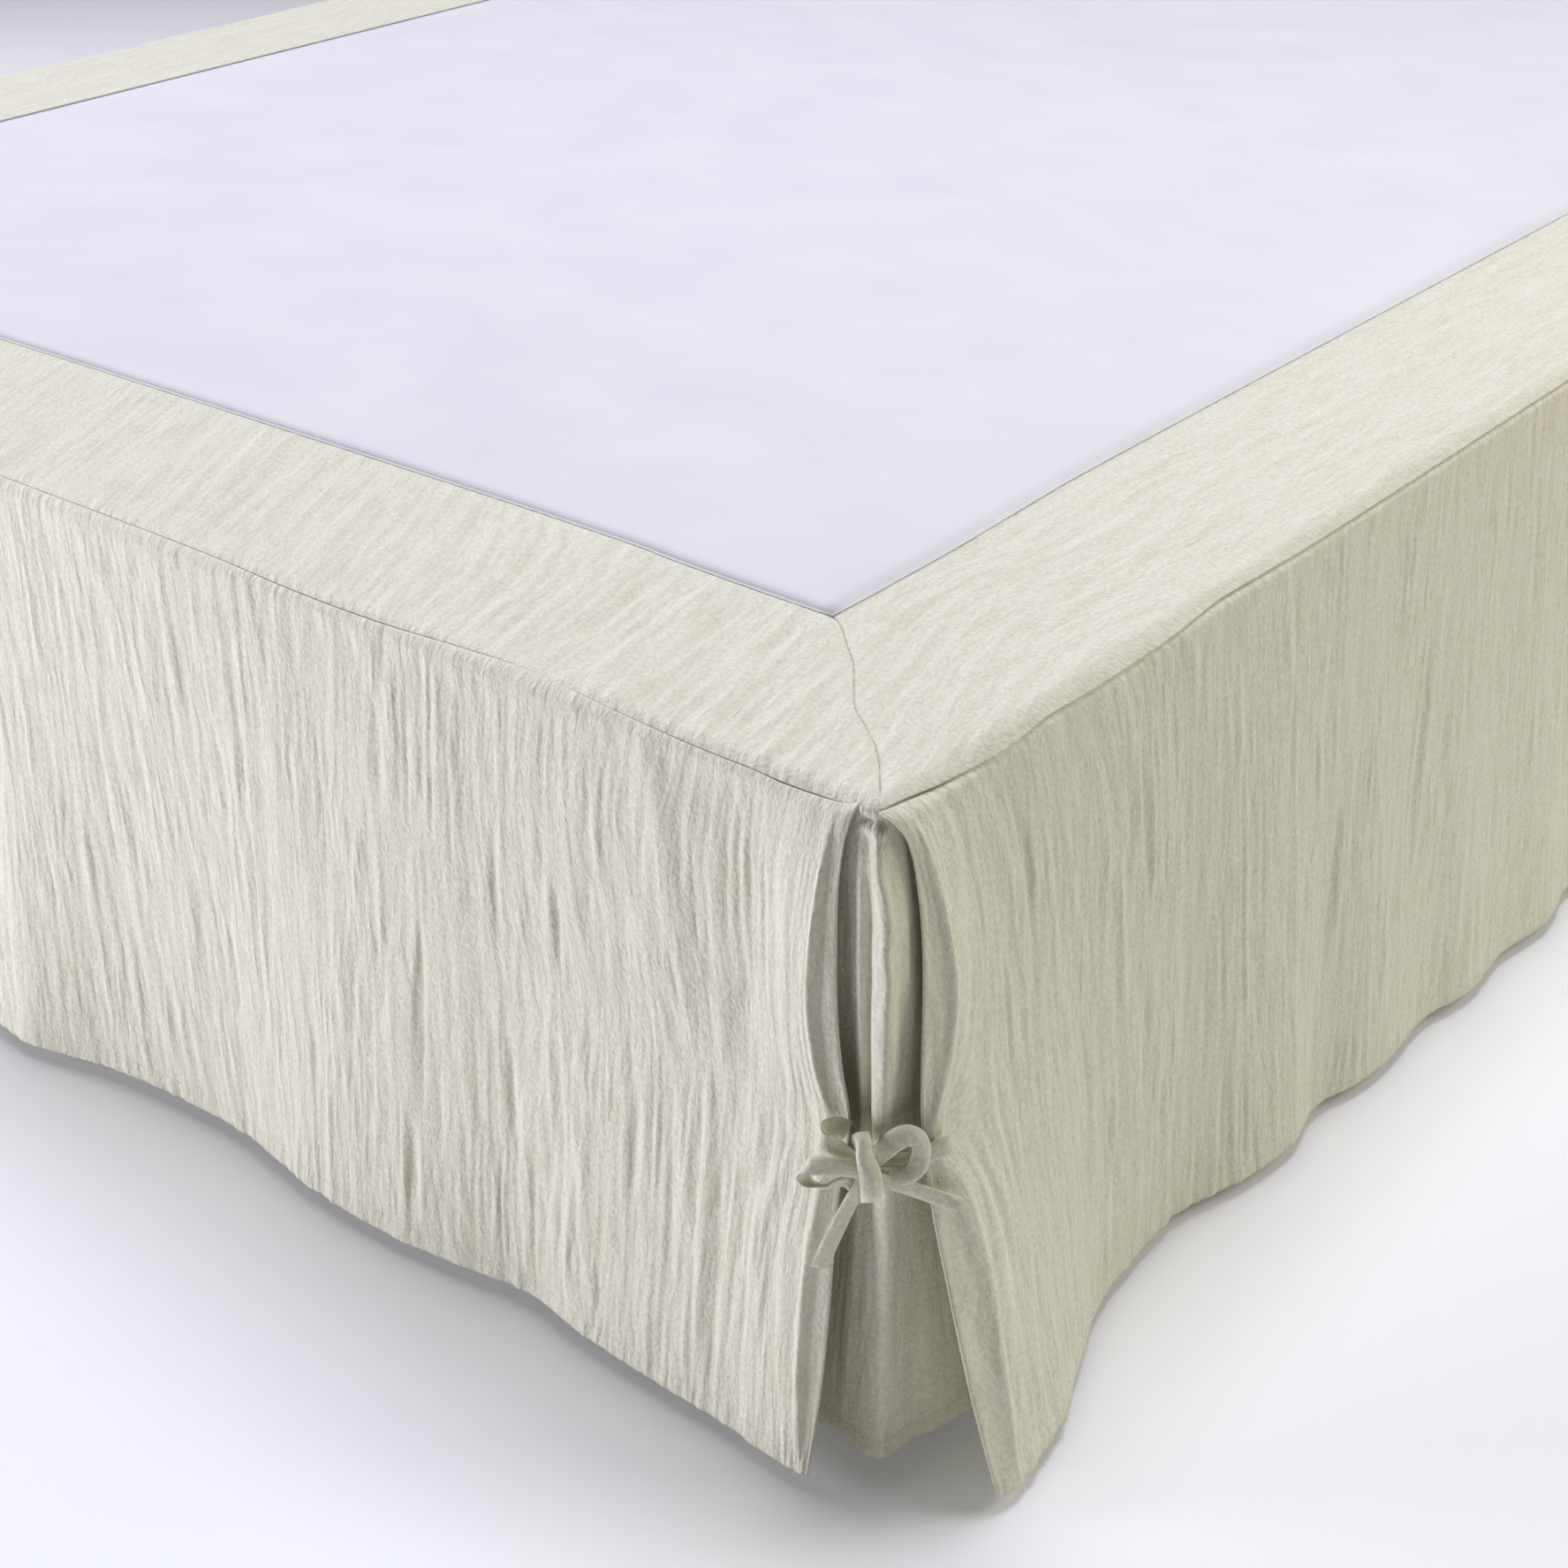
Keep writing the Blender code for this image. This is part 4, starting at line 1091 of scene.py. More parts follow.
def band_columns(side, near, far):
    """Fractions along a strip, closer together near the seen corner."""
    if side.name not in SEEN_SIDES:
        return np.linspace(0, 1, round(side.length / far))
    places = spaced([(BAND_NEAR, near), (side.length, far)]) / side.length
    return 1 - places[::-1] if side.name == "foot" else places


bands = {}
for side in SIDES:
    near, far, across = BAND_STEPS["seen" if side.name in SEEN_SIDES else "plain"]
    fractions = band_columns(side, near, far)
    out, depth = band_rows(side, fractions * side.length, across)
    start = -out + MITRE_GAP
    base = on_side(side, start + (side.length - 2 * start) * fractions, out, depth)
    x, y = base[..., 0] - CORNER.x, base[..., 1] - CORNER.y
    shift_x, shift_y = bow_shift(x, y)
    base[..., 0] += shift_x
    base[..., 1] += shift_y
    steps = np.hypot(np.diff(out, axis=0), np.diff(depth, axis=0))
    to_inner = np.cumsum(np.vstack([0 * x[:1], steps]), axis=0)
    to_outer = to_inner[-1] - to_inner
    to_end = np.minimum(fractions, 1 - fractions) * side.length
    to_mitre = to_end * math.sqrt(0.5) + 0 * x
    height = top_height(x, y, BORDER_SEED) * smooth(to_outer, 0, 0.012) * smooth(to_inner, 0, 0.010)
    height *= smooth(to_mitre, 0, 0.008)
    outer_dip = 0.0 if SEAM_LIP[side.name] else SEAM_DIP[side.name]
    height += edge_dip(to_inner, x + y, INNER_DIP, INNER_SEED)
    height += edge_dip(to_outer, x + y, outer_dip, OUTER_SEED)
    lip = SEAM_LIP[side.name] * MM * hill(to_outer, 0, LIP_WIDTH)
    height += smooth(to_end, 0.02, 0.10) * lip - MITRE_DIP * MM * hill(to_mitre, 0, MITRE_WIDTH)
    normal = normals_of(base, (0, 0, 1))
    laid = base + normal * height[..., None]
    uv = np.stack([top_grain(x, y), y - depth], axis=-1)
    bands[side.name] = add_cloth(f"{side.name}_band", laid, uv, (0, 0, 1), gauze)
    print(side.name, "band:", laid.shape[:2], "points")

# %% [markdown]
# ## The decking and its seam
# The decking is one flat panel with a few faint rumples. Where it meets the border, its folded
# edge shows as a thin bright lip. A lip is a small round section along a path, so Geometry Nodes
# makes it: the tree has one named input, the lip's radius, and the path is the seam's own line.

# %% Build the decking
def inner_edge(side, places):
    """Points of the decking's seam along a side, bowed as the border is."""
    start = BAND_WIDTH
    line = on_side(side, start + (side.length - 2 * start) * places, -BAND_WIDTH, 0.0)
    shift_x, shift_y = bow_shift(line[:, 0] - CORNER.x, line[:, 1] - CORNER.y)
    line[:, 0] += shift_x
    line[:, 1] += shift_y
    return line


half_x, half_y = BED_WIDTH / 2 - BAND_WIDTH - GAP, BED_LENGTH / 2 - BAND_WIDTH - GAP
DECK_STEP = 0.015
BROAD_SEED, FINE_SEED = 81, 82
BROAD_RUMPLE, FINE_RUMPLE, DECK_DIP = 1.3 * MM, 0.5 * MM, 1.0 * MM
across, down = (np.linspace(-h, h, round(2 * h / DECK_STEP)) for h in (half_x, half_y))
deck_x, deck_y = np.meshgrid(across, down)
shift_x, shift_y = bow_shift(deck_x - CORNER.x, deck_y - CORNER.y)
to_edge = np.minimum(half_x - np.abs(deck_x), half_y - np.abs(deck_y))
rumple = BROAD_RUMPLE * noise(deck_x / 0.21 + 3, deck_y / 0.26, BROAD_SEED)
rumple += FINE_RUMPLE * noise(deck_x / 0.05, deck_y / 0.11, FINE_SEED)
lift = rumple * smooth(to_edge, 0, 0.06) - DECK_DIP * hill(to_edge, 0, 0.004)
laid = np.stack([deck_x + shift_x, deck_y + shift_y, DECK_HEIGHT + lift], axis=-1)
panel = add_cloth("decking_panel", laid, laid[..., :2], (0, 0, 1), decking_cotton)
print("decking:", laid.shape[:2], "points, rumples up to", round(rumple.max() / MM, 1), "mm")

# %% Nodes that lay a lip along a line
def new_tree(name, inputs):
    """A node group with a line going in, named numbers beside it, and geometry coming out."""
    tree = bpy.data.node_groups.new(name, "GeometryNodeTree")
    tree.interface.new_socket("Line", in_out="INPUT", socket_type="NodeSocketGeometry")
    for socket_name in inputs:
        tree.interface.new_socket(socket_name, in_out="INPUT", socket_type="NodeSocketFloat")
    tree.interface.new_socket("Geometry", in_out="OUTPUT", socket_type="NodeSocketGeometry")
    return tree, tree.nodes.new("NodeGroupInput"), tree.nodes.new("NodeGroupOutput")


def end_tree(tree, result, geometry, material):
    """Makes a tree's geometry real, gives it a material and leads it out."""
    solid = add_node(tree, "GeometryNodeRealizeInstances", {}, {"Geometry": geometry})
    inputs = {"Geometry": solid.outputs[0], "Material": material}
    finished = add_node(tree, "GeometryNodeSetMaterial", {}, inputs)
    tree.links.new(finished.outputs[0], result.inputs[0])
    return tree


LIP_RADIUS = 0.75 * MM
LIP_SIDES, LIP_POINTS = 8, 120      # round the lip, and along each side of the decking


def lip_tree(material):
    """A tree that lays a round section along its line."""
    tree, given, result = new_tree("lip", ["Radius"])
    line = add_node(tree, "GeometryNodeMeshToCurve", {}, {"Mesh": given.outputs["Line"]})
    inputs = {"Radius": given.outputs["Radius"], "Resolution": LIP_SIDES}
    ring = add_node(tree, "GeometryNodeCurvePrimitiveCircle", {}, inputs)
    inputs = {"Curve": line.outputs[0], "Profile Curve": ring.outputs[0]}
    tube = add_node(tree, "GeometryNodeCurveToMesh", {}, inputs)
    return end_tree(tree, result, tube.outputs[0], material)


def grown(name, lines, tree, numbers):
    """A plain mesh that a tree makes along open or closed lines of points."""
    points = [tuple(p) for line, _ in lines for p in line]
    edges, first = [], 0
    for line, closed in lines:
        edges += [(first + n, first + n + 1) for n in range(len(line) - 1)]
        if closed:
            edges.append((first + len(line) - 1, first))
        first += len(line)
    mesh = bpy.data.meshes.new(name + "_line")
    mesh.from_pydata(points, edges, [])
    maker = add_object(name + "_line", mesh)
    nodes = maker.modifiers.new("Grow", "NODES")
    nodes.node_group = tree
    for socket in tree.interface.items_tree:
        if socket.name in numbers:
            nodes[socket.identifier] = numbers[socket.name]
    evaluated = maker.evaluated_get(bpy.context.evaluated_depsgraph_get())
    plain = bpy.data.meshes.new_from_object(evaluated)
    plain.name = name
    bpy.data.objects.remove(maker)
    return add_object(name, plain)


lip_points = []
for side in SIDES:
    lip_points += list(inner_edge(side, np.linspace(0, 1, LIP_POINTS)[:-1]))
lip = grown("decking_lip", [(lip_points, True)], lip_tree(decking_cotton), {"Radius": LIP_RADIUS})
print("lip:", len(lip.data.polygons), "faces round", len(lip_points), "points")

# %% [markdown]
# ## The pleats
# Behind each tied corner hangs a pleat: a loose piece whose two legs are caught at the top and
# which falls in a few soft folds, one of them in front. A loft does this well. Each fold is a
# column of places at named depths, and smooth curves run down every fold and across every depth.
# A small roll along its top is the turned edge that the seam above pinches.

# %% Build the pleats
PLEAT_DEPTHS = [0.008, 0.034, 0.110, 0.184, 0.260, 0.394]
# Each fold's place in plan at those depths, in mm from the corner: out of the side, then along it.
Pleat = namedtuple("Pleat", "fold caught high middle tied low hem")
PLEAT_FOLDS = [
    Pleat("leg before", (-80, 2.6), (-80, 1.8), (-80, -1.0), (-80, -3.0), (-80, -3.0), (-80, -8.0)),
    Pleat("run before", (-52, 2.6), (-52, 1.4), (-52, -2.5), (-50, -2.5), (-52, -1.0), (-54, -9.0)),
    Pleat("recess before", (-28, 2.8), (-27, 1.8), (-25.9, 0.6), (-24, 1.0), (-29.7, 1.3), (-31.4, -9.2)),
    Pleat("small ridge", (-17.5, 2.6), (-14.5, 0.2), (-11.5, -4.3), (-9.6, -7.2), (-16.2, -5.6),
          (-19.5, -11)),
    Pleat("small valley", (-13.6, 2.8), (-10.5, 2.0), (-8.9, -0.3), (-5.4, -5), (-11.2, -5.4),
          (-13.2, -12)),
    Pleat("lit face", (-9.0, 3.8), (-5.1, -1.7), (-0.7, -5.8), (0.6, -8.6), (-1.0, -7.4), (-3.4, -13.2)),
    Pleat("main ridge", (-5.8, 6.0), (-0.8, -1.8), (7.0, -5.0), (6.8, -8.0), (6.9, -6.7), (5.2, -9.4)),
    Pleat("shaded side", (-3.6, 10), (1.4, 5.4), (6.8, 5.2), (8.1, 1.7), (8.1, 2.8), (8.3, 1.0)),
    Pleat("turn", (-2.6, 15.2), (2.2, 14.8), (8.1, 14.3), (9.2, 10.9), (8.0, 13.1), (9.8, 13.3)),
    Pleat("recess after", (-2.6, 22), (0.6, 22.9), (7.3, 22), (8.6, 18.5), (8.0, 24.9), (14.7, 24.6)),
    Pleat("run after", (-2.6, 46), (-0.6, 46), (3.5, 46), (7, 47), (8, 48), (20, 50)),
    Pleat("leg after", (-2.6, 80), (-0.6, 80), (3, 80), (6, 80), (8, 80), (18, 82)),
]
PLEAT_COLUMNS = 120
PLEAT_ROWS = [(0.0085, 0.0012), (0.020, 0.0023), (0.390, 0.0065)]
PLEAT_HEM_LINE = PLEAT_DEPTHS[-1] - 0.011
PLEAT_HEM_ROWS = [PLEAT_HEM_LINE, 0.3862, 0.390, 0.394]
PLEAT_HEM_RISE, PLEAT_HEM_GROOVE = 0.4 * MM, 0.5 * MM
PLEAT_SEED = 90
RIGHTWARDS = 0.77, 0.64         # out and along, for someone who faces the corner
# Depth, and how far the main ridge wanders to the right there, in mm.
MEANDER = np.array([
    (0, 0), (34, -0.5), (50, 1.5), (64, 2.2), (79, 0.2), (94, 0.4), (112, -1.2), (142, -0.6), (163, -1),
    (190, 0), (394, 0),
]) * MM


def corner_frame(side):
    """The frame of the corner before a side: x out of that side, y along it, z up."""
    turn = Matrix.Rotation(math.radians(side.heading - 90), 4, "Z")
    return Matrix.Translation(Vector(on_side(side, 0, 0, 0))) @ turn


plan = np.array([[fold[level + 1] for fold in PLEAT_FOLDS] for level in range(len(PLEAT_DEPTHS))]) * MM
reach = np.r_[0, np.cumsum(np.hypot(*np.diff(plan[2], axis=0).T))]
fold_at = {fold.fold: place for fold, place in zip(PLEAT_FOLDS, reach)}


def tucked(xy, cloth, depth):
    """A row of the pleat, drawn in under the border's edge, its main ridge moved sideways."""
    rise = max(0.0, 1 - depth / SHOULDER)
    tuck = SHOULDER * (1 - math.sqrt(1 - rise**2))
    aside = float(read_table(MEANDER, depth))
    near = hill(cloth, fold_at["main ridge"], 0.014)
    x = xy[:, 0] - tuck * smooth(xy[:, 1], -0.010, 0.002) + RIGHTWARDS[0] * aside * near
    y = xy[:, 1] + tuck * smooth(-xy[:, 0], -0.010, 0.002) + RIGHTWARDS[1] * aside * near
    return np.stack([x, y], axis=1)


# Rolls and dips across the pleat's top: height in mm, then depth and width in metres.
PLEAT_ROLLS = [
    (2.8, 0.0062, 0.0026), (-2.4, 0.0110, 0.0018), (1.5, 0.0155, 0.0030), (-0.8, 0.0215, 0.0026),
]
RIDGE_RISE, MAIN_WIDTH, SMALL_WIDTH = 1.1, 0.0075, 0.0028       # mm, then metres


def pleat_relief(cloth, depth, seed):
    """The rolls across the pleat's top, its two ridges and its crinkle."""
    first, last = fold_at["small ridge"], fold_at["main ridge"] + 0.003
    seen = smooth(cloth, first - 0.002, first + 0.006) * (1 - smooth(cloth, last, last + 0.008))
    rolls = sum(rise * hill(depth, middle, width) for rise, middle, width in PLEAT_ROLLS)
    hangs = smooth(depth, 0.020, 0.050)
    calm = 0.15 + 0.35 * smooth(depth, 0.006, 0.030)
    main = RIDGE_RISE * hill(cloth, fold_at["main ridge"], MAIN_WIDTH)
    small = RIDGE_RISE * hill(cloth, fold_at["small ridge"], SMALL_WIDTH)
    small *= 1 - smooth(depth, 0.15, 0.18)
    return MM * (seen * rolls + hangs * (main + small)) + calm * crinkle(cloth, depth, seed)


pleats = {}
at = np.linspace(0, reach[-1], PLEAT_COLUMNS)
depths = PLEAT_TOP + spaced(PLEAT_ROWS)
depths = np.append(depths[depths < PLEAT_HEM_LINE - 0.003], PLEAT_HEM_ROWS)
stitched = len(depths) - len(PLEAT_HEM_ROWS)      # the row that the hem's stitches follow
down = curve_through(PLEAT_DEPTHS, plan, depths).reshape(len(depths), len(PLEAT_FOLDS), 2)
for side in SIDES:
    placed = np.array(corner_frame(side))
    rows = []
    for row, depth in zip(down, depths):
        xy = tucked(curve_through(reach, row, at), at, depth)
        rows.append(carried(np.column_stack([xy, np.full(len(at), -depth)]), placed))
    base = np.array(rows)
    cloth_at, depth_at = np.meshgrid(at, depths)
    height = pleat_relief(cloth_at, depth_at, PLEAT_SEED + side.heading)
    height -= PLEAT_HEM_GROOVE * hill(depth_at, PLEAT_HEM_LINE, GROOVE_WIDTH)
    thicker = smooth(depth_at, PLEAT_HEM_LINE - 0.001, PLEAT_HEM_LINE + 0.003)
    height += PLEAT_HEM_RISE * thicker
    outward = placed[:3, :3] @ np.array([0.0, -1.0, 0.0])
    normal = normals_of(base, outward)
    laid = base + normal * height[..., None]
    uv = np.stack([cloth_at, -depth_at], axis=-1)
    pleats[side.name] = add_cloth(f"{side.name}_pleat", laid, uv, outward, gauze)
    hem_lines["pleat_" + side.name] = laid[stitched] + normal[stitched] * STITCH_LIFT
print("pleats:", laid.shape[:2], "points each, cut", round(at[-1] / MM), "mm wide")

# %% [markdown]
# ## The ties
# A tie is a narrow tube of gauze, turned right side out and pressed flat, sewn to a flap at one
# end and free at the other. A pair makes a bow, so each follows a route: places in front of the
# corner, how wide the tie is there, and which way its width points. Sweeping a flattened section
# along a smooth curve through those bends keeps the tie's length and lets it twist and pinch.

# %% Routes of the two ties
KNOT = Vector((5, -21, -193.5)) * MM      # the knot from the corner, in the corner's frame
UP, OUT, ACROSS = Vector((0, 0, 1)), Vector((0, 1, 0)), Vector((1, 0, 0))
Bend = namedtuple("Bend", "across out up width thick points")


def loop(hole, *rows):
    """Bends of a loop of a bow. Its width points at the middle of its hole."""
    bends = []
    for across, out, up, width, thick in rows:
        inwards = Vector((hole[0] - across, 0, hole[1] - up)).normalized()
        bends.append(Bend(across, out, up, width, thick, inwards - 0.5 * inwards.z * OUT))
    return bends


TIE_BEFORE = [
    Bend(-8.0, -11.6, 15.5, 11.5, 2.4, UP + 0.5 * ACROSS),
    Bend(-13.5, -11.6, 18.0, 12.5, 2.6, UP + 0.3 * ACROSS),
    Bend(-20.0, -8.6, 19.0, 12.5, 3.0, UP),
    Bend(-21.5, -4.4, 17.5, 11.5, 3.2, UP),
    Bend(-15.5, -2.4, 12.5, 10.0, 3.2, UP + 0.4 * ACROSS),
    Bend(-8.0, -2.6, 6.0, 8.5, 3.0, UP + 0.6 * ACROSS),
    Bend(0.0, -2.4, 0.5, 7.5, 3.0, UP),
    Bend(6.5, -0.6, -2.5, 8.5, 3.2, UP + 0.3 * OUT),
    *loop(
        (17.5, 6.5),
        (13.0, 2.4, -3.8, 9.6, 3.4),
        (19.5, 3.4, -3.4, 10.2, 3.4),
        (24.6, 3.0, 0.6, 10.4, 4.2),
        (26.8, 1.8, 8.2, 10.4, 4.4),
        (25.4, 1.4, 16.2, 10.6, 4.6),
        (20.0, 1.4, 19.4, 11.2, 4.6),
        (13.0, 2.0, 16.6, 11.4, 4.4),
        (7.6, 2.0, 10.4, 10.2, 3.4),
    ),
    Bend(4.0, 1.0, 4.5, 8.0, 3.0, ACROSS - 0.5 * UP + 0.3 * OUT),
    Bend(0.0, 0.4, -1.5, 7.5, 3.0, ACROSS - 0.5 * UP),
    Bend(-3.8, 1.4, -9.0, 7.8, 3.0, ACROSS - 0.45 * UP),
    Bend(-8.2, 1.2, -19.0, 8.4, 3.0, ACROSS - 0.42 * UP),
    Bend(-13.4, -0.4, -32.0, 8.8, 3.0, ACROSS - 0.40 * UP),
    Bend(-18.8, -2.4, -47.0, 9.2, 2.8, ACROSS - 0.38 * UP),
    Bend(-24.0, -4.8, -64.0, 9.8, 2.6, ACROSS - 0.36 * UP),
]
TIE_AFTER = [
    Bend(43.0, -3.6, 9.0, 12.4, 1.8, UP - 0.15 * ACROSS),
    Bend(39.5, -1.8, 8.6, 12.8, 2.6, UP - 0.15 * ACROSS),
    Bend(35.5, -1.8, 6.5, 11.0, 2.8, UP - 0.2 * ACROSS),
    Bend(28.0, -3.2, 3.0, 9.5, 3.0, UP - 0.1 * ACROSS),
    Bend(19.0, -4.6, 0.0, 9.0, 3.0, UP),
    Bend(10.0, -5.6, 0.5, 8.5, 3.0, UP + 0.3 * ACROSS),
    Bend(2.5, -5.8, 4.5, 8.5, 3.0, UP + ACROSS),
    Bend(-1.6, -5.6, 11.5, 9.0, 3.2, ACROSS + 0.3 * UP),
    Bend(-2.6, -2.4, 18.6, 9.5, 3.8, ACROSS + 0.1 * UP),
    Bend(-2.0, 3.0, 18.4, 8.4, 5.0, ACROSS),
    Bend(-1.6, 6.4, 11.5, 9.4, 6.4, ACROSS),
    Bend(0.2, 8.2, 4.0, 11.2, 7.6, ACROSS),
    Bend(1.2, 8.4, -4.0, 12.4, 8.0, ACROSS),
    Bend(1.2, 6.6, -11.5, 10.8, 6.6, ACROSS),
    Bend(0.2, 2.4, -17.6, 8.5, 3.6, ACROSS),
    Bend(-3.2, -2.2, -16.6, 8.0, 3.2, ACROSS + 0.3 * UP),
    Bend(-8.5, -3.4, -10.5, 8.0, 3.0, ACROSS + 1.2 * UP),
    Bend(-14.5, -1.2, -8.2, 8.4, 3.0, UP + 0.5 * OUT),
    Bend(-21.5, 0.8, -8.6, 8.8, 3.2, 0.7 * UP + 0.8 * OUT),
    Bend(-27.5, 1.2, -6.0, 9.2, 3.2, 0.7 * UP + 0.7 * OUT - 0.4 * ACROSS),
    Bend(-32.0, 1.8, 0.6, 9.6, 3.4, 0.6 * OUT - ACROSS),
    Bend(-29.0, 3.6, 6.6, 9.8, 3.6, 0.8 * OUT - 0.8 * UP - 0.6 * ACROSS),
    Bend(-22.5, 4.8, 7.2, 9.8, 3.6, 0.5 * OUT - UP),
    Bend(-14.0, 4.6, 5.2, 9.0, 3.4, 0.2 * OUT - UP),
    Bend(-6.5, 3.8, 2.0, 8.4, 3.0, -UP),
    Bend(0.0, 3.4, -1.2, 7.8, 3.0, -UP),
    Bend(6.5, 3.4, -5.0, 8.2, 3.0, -UP - 0.1 * ACROSS),
    Bend(13.5, 3.0, -8.6, 8.4, 3.0, -UP - 0.35 * ACROSS),
    Bend(23.0, 2.2, -13.6, 8.8, 3.0, -UP - 0.45 * ACROSS),
    Bend(34.0, 2.0, -19.4, 9.2, 3.0, -UP - 0.48 * ACROSS),
    Bend(46.0, 2.6, -25.0, 8.8, 3.0, -UP - 0.48 * ACROSS),
]
print("bends:", len(TIE_BEFORE), "and", len(TIE_AFTER))

# %% Build the ties
TIE_STEP = 1.1 * MM
TIE_WIDTH = 8 * MM
# The tie's section: across and through, as shares of half its width and half its thickness. Its
# edges are folds, so they are fuller than its middle.
HALF_SECTION = [
    (0.96, 0.36), (0.82, 0.66), (0.56, 0.90), (0.20, 1.0),
    (-0.20, 1.0), (-0.56, 0.90), (-0.82, 0.66), (-0.96, 0.36),
]
OTHER_HALF = [(a, -b) for a, b in reversed(HALF_SECTION)]
SECTION = np.array([(1.0, 0.0), *HALF_SECTION, (-1.0, 0.0), *OTHER_HALF])
OPEN_MOUTH, CLOSED_MOUTH = 4 * MM, 0.5 * MM
LAST_RINGS = 0.72, 0.60          # sizes of the two rings that turn in at the mouth
OTHER_FACE = 0.02                # how far the lower face lies from the upper one on the flat cloth
THICK_SWING, WIDTH_SWING = 0.15, 0.06
RIPPLE, SWELL = 0.16 * MM, 2.2 * MM      # on its faces, and at its open mouth
TIE_SEED = 100


def unit(vectors):
    """Vectors with a length of 1."""
    return vectors / np.linalg.norm(vectors, axis=-1, keepdims=True)


def tie_route(bends):
    """Even stations along a tie: places, widths and ways of its width, and its length."""
    knots = np.array([(b.across, b.out, b.up) for b in bends]) * MM
    reach = np.r_[0, np.cumsum(np.linalg.norm(np.diff(knots, axis=0), axis=1))]
    at = np.linspace(0, reach[-1], round(reach[-1] / TIE_STEP))
    places = curve_through(reach, knots, at)
    sizes = curve_through(reach, np.array([(b.width, b.thick) for b in bends]) * MM, at)
    ways = curve_through(reach, unit(np.array([tuple(b.points) for b in bends])), at)
    length = np.linalg.norm(np.diff(places, axis=0), axis=1).sum()
    return places, sizes[:, 0], sizes[:, 1], ways, length


def add_tie(name, bends, carry, seed, open_end):
    """A tie's tube, its centreline in the row frame and its length."""
    places, widths, thick, ways, length = tie_route(bends)
    ahead = unit(np.gradient(places, axis=0))
    wide = unit(ways - ahead * (ways * ahead).sum(axis=1, keepdims=True))
    through = np.cross(ahead, wide)
    n = np.arange(len(places))
    from_end = (n[-1] - n) * TIE_STEP
    thick *= 1 + THICK_SWING * noise(n / 7.0, 0 * n + 1.5, seed)
    if open_end:
        thick += SWELL * (1 - smooth(from_end, 0, 2 * OPEN_MOUTH))
    widths = widths * (1 + WIDTH_SWING * noise(n / 9.0, 0 * n + 7.5, seed))
    rings = []
    for k, place in enumerate(places):
        ripple = RIPPLE * noise(SECTION[:, 0] * 2.2 + 3, k / 5.0 + SECTION[:, 1], seed + 1)
        across = SECTION[:, :1] * wide[k] * widths[k] / 2
        up = (SECTION[:, 1:] * thick[k] / 2 + ripple[:, None] * (SECTION[:, 1:] != 0)) * through[k]
        rings.append(place + across + up)
    last = rings[-1]
    mouth = OPEN_MOUTH if open_end else CLOSED_MOUTH
    middle = last.mean(axis=0)
    rings.append(middle + (last - middle) * LAST_RINGS[0])
    rings.append(middle + (last - middle) * LAST_RINGS[1] - ahead[-1] * mouth)
    points = carried(np.array(rings).reshape(-1, 3), carry)
    around, count = len(SECTION), len(rings)
    faces = [tuple(range(around))]
    for r in range(count - 1):
        for k in range(around):
            a, b = r * around + k, r * around + (k + 1) % around
            faces.append((a, a + around, b + around, b))
    faces.append(tuple(reversed(range((count - 1) * around, count * around))))
    run = np.r_[n * TIE_STEP, length, length + mouth][:, None] + np.zeros(around)
    flat_across = SECTION[:, 0] * TIE_WIDTH / 2 + (SECTION[:, 1] < 0) * OTHER_FACE
    uv = np.stack([np.broadcast_to(flat_across, run.shape), run], axis=-1).reshape(-1, 2)
    return add_mesh(name, points, faces, uv, gauze), carried(places, carry), length


ties = []
for side in SIDES:
    facing = Matrix.Rotation(math.radians(45), 4, "Z") @ Matrix.Scale(-1, 4, (0, 1, 0))
    carry = np.array(corner_frame(side) @ Matrix.Translation(KNOT) @ facing)
    seed = TIE_SEED + side.heading
    for word, bends, open_end in (("before", TIE_BEFORE, False), ("after", TIE_AFTER, True)):
        made, line, length = add_tie(f"{side.name}_tie_{word}", bends, carry, seed, open_end)
        ties.append((made, line, length, f"tie_{word}_{side.name}"))
print("ties:", [(piece.name, round(length / MM)) for piece, _, length, _ in ties[:2]])

# %% [markdown]
# ## The hem's stitches
# A sewing machine leaves a dotted line along each hem. A stitch is tiny and comes thousands of
# times, so it is one rounded grain that Geometry Nodes repeats along the hem's line, with its
# pitch, length and thickness as inputs. The random lengths use a fixed seed.

# %% Nodes that sew a row of stitches
STITCH = {"Pitch": 3.4 * MM, "Length": 2.3 * MM, "Thickness": 0.55 * MM}
SHORTEST, LONGEST, STITCH_SEED = 0.85, 1.1, 4       # shares of the length
GRAIN_FACES = 20


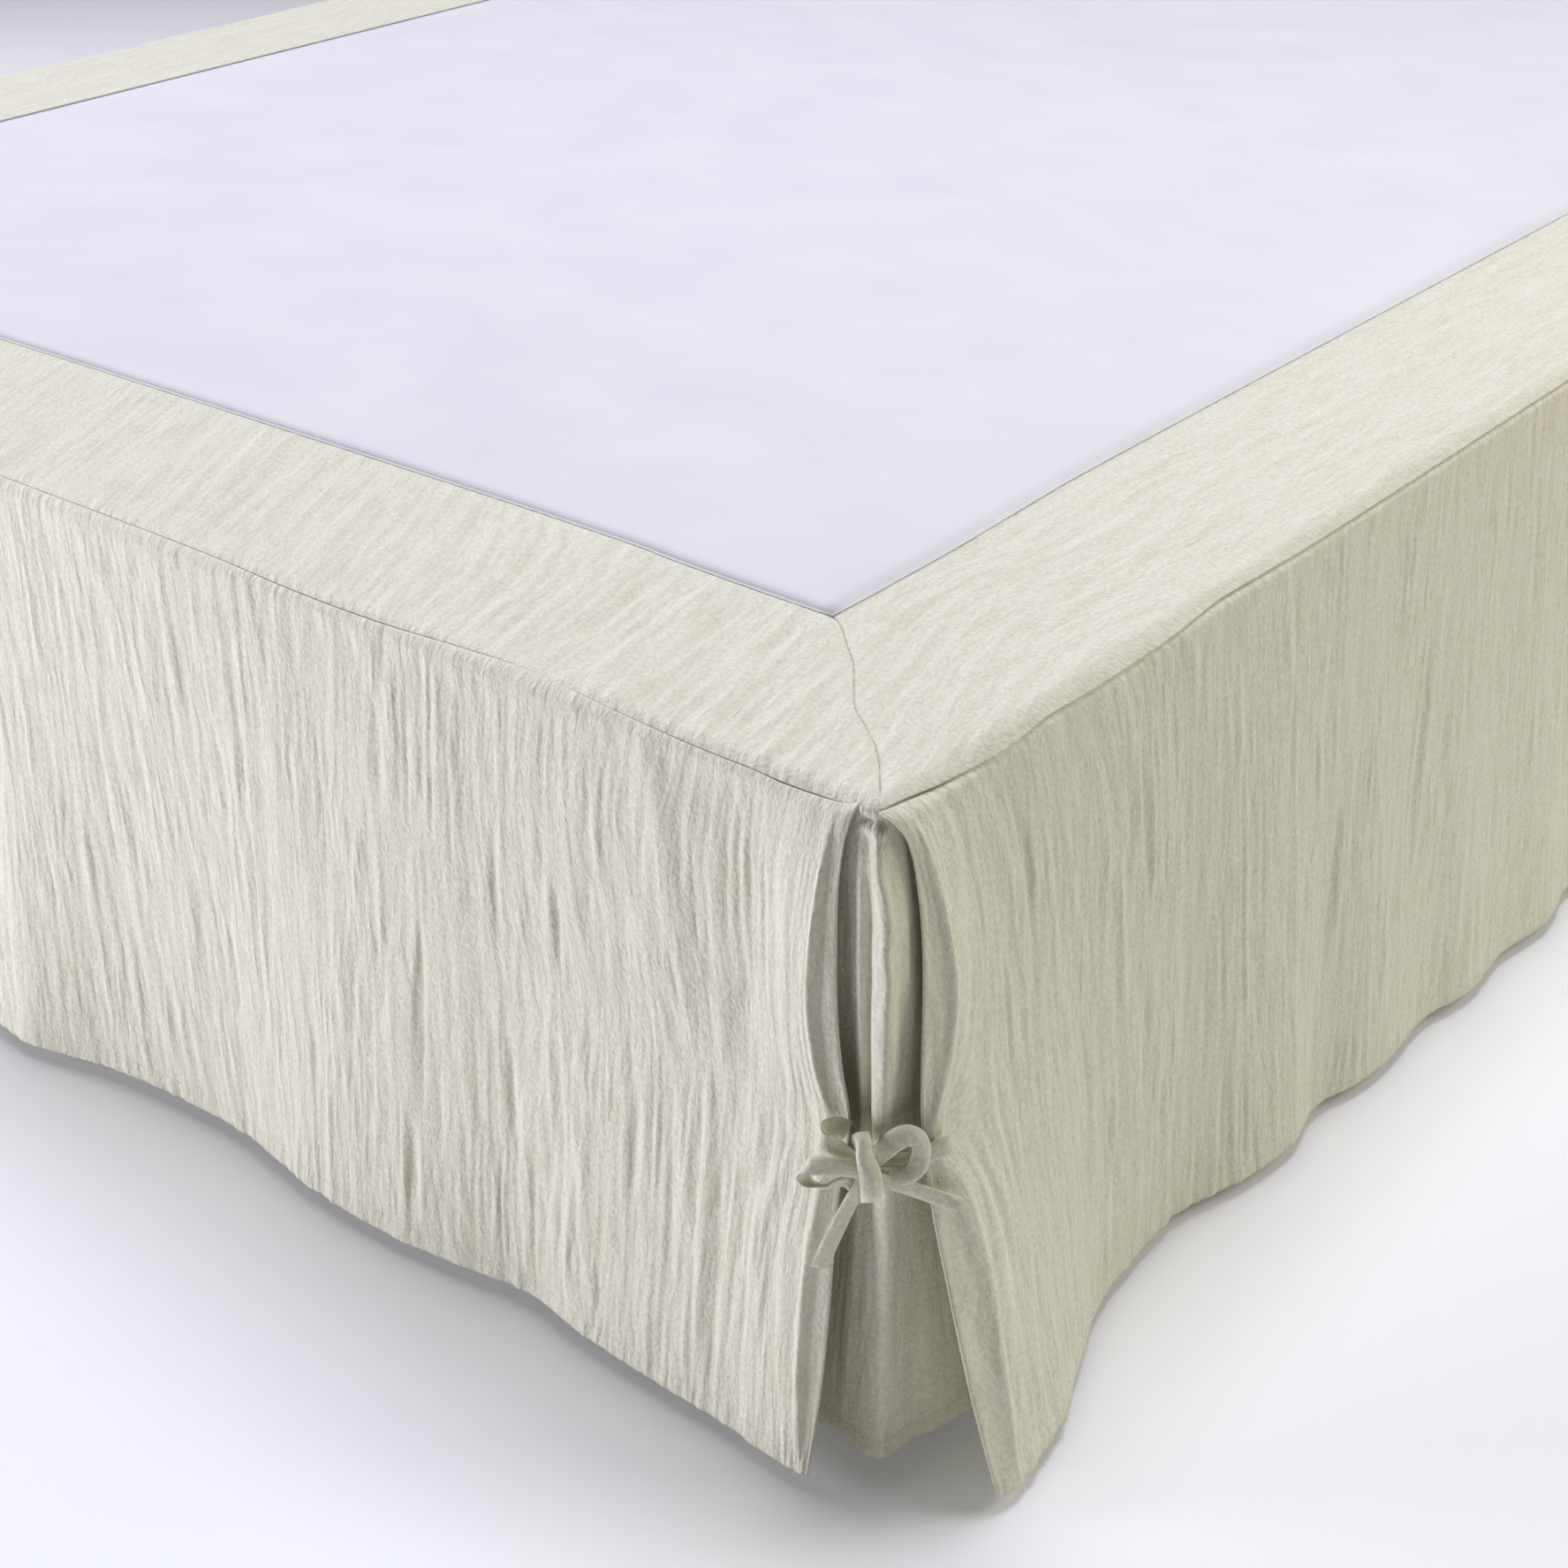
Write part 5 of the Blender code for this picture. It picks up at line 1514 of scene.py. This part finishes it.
def stitch_tree(material):
    """A tree that sews a row of grains along its line."""
    tree, given, result = new_tree("stitch_row", list(STITCH))
    line = add_node(tree, "GeometryNodeMeshToCurve", {}, {"Mesh": given.outputs["Line"]})
    inputs = {"Curve": line.outputs[0], "Length": given.outputs["Pitch"]}
    marks = add_node(tree, "GeometryNodeResampleCurve", {"mode": "LENGTH"}, inputs)
    grain = add_node(tree, "GeometryNodeMeshIcoSphere", {}, {"Radius": 0.5, "Subdivisions": 1})
    ahead = add_node(tree, "GeometryNodeInputTangent", {}, {})
    inputs = {"Vector": ahead.outputs[0]}
    turned = add_node(tree, "FunctionNodeAlignRotationToVector", {"axis": "X"}, inputs)
    inputs = {2: SHORTEST, 3: LONGEST, "Seed": STITCH_SEED}
    uneven = add_node(tree, "FunctionNodeRandomValue", {"data_type": "FLOAT"}, inputs)
    inputs = {0: given.outputs["Length"], 1: uneven.outputs[1]}
    longer = add_node(tree, "ShaderNodeMath", {"operation": "MULTIPLY"}, inputs)
    thin = given.outputs["Thickness"]
    sizes = add_node(tree, "ShaderNodeCombineXYZ", {}, {0: longer.outputs[0], 1: thin, 2: thin})
    inputs = {
        "Points": marks.outputs[0], "Instance": grain.outputs[0],
        "Rotation": turned.outputs[0], "Scale": sizes.outputs[0],
    }
    row = add_node(tree, "GeometryNodeInstanceOnPoints", {}, inputs)
    return end_tree(tree, result, row.outputs[0], material)


sewing = stitch_tree(thread)
stitches = {}
for name, line in hem_lines.items():
    stitches[name] = grown(f"{name}_hem_stitches", [(line, False)], sewing, STITCH)
print("stitches:", sum(len(piece.data.polygons) for piece in stitches.values()) // GRAIN_FACES)

# %% [markdown]
# ## Joining the frame
# The last cell hides the solid that each cloth stands for and puts each piece on the body it rides
# on.


def join(piece, slot_name, *nodes):
    """Hides the solids that a piece replaces and lets it ride on the skirt. slot_name is not used."""
    if nodes:
        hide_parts(*nodes)
    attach(piece, BODY)


join(panel, "decking_cotton", "decking")
join(lip, "decking_cotton")
for side in SIDES:
    drop, band, pleat = drops[side.name], bands[side.name], pleats[side.name]
    hem_row, pleat_row = stitches[side.name], stitches["pleat_" + side.name]
    join(drop, "gauze", f"drop_{side.name}")
    join(band, "gauze", f"band_{side.name}")
    join(pleat, "gauze", f"pleat_{side.name}")
    join(hem_row, "gauze")
    join(pleat_row, "gauze")
for piece, line, length, node in ties:
    join(piece, "gauze", node)

counted = bpy.context.evaluated_depsgraph_get()
total = 0
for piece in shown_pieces():
    shown = piece.evaluated_get(counted)
    shown_mesh = shown.to_mesh()
    shown_mesh.calc_loop_triangles()
    total += len(shown_mesh.loop_triangles)
    shown.to_mesh_clear()
print("triangles shown:", total)
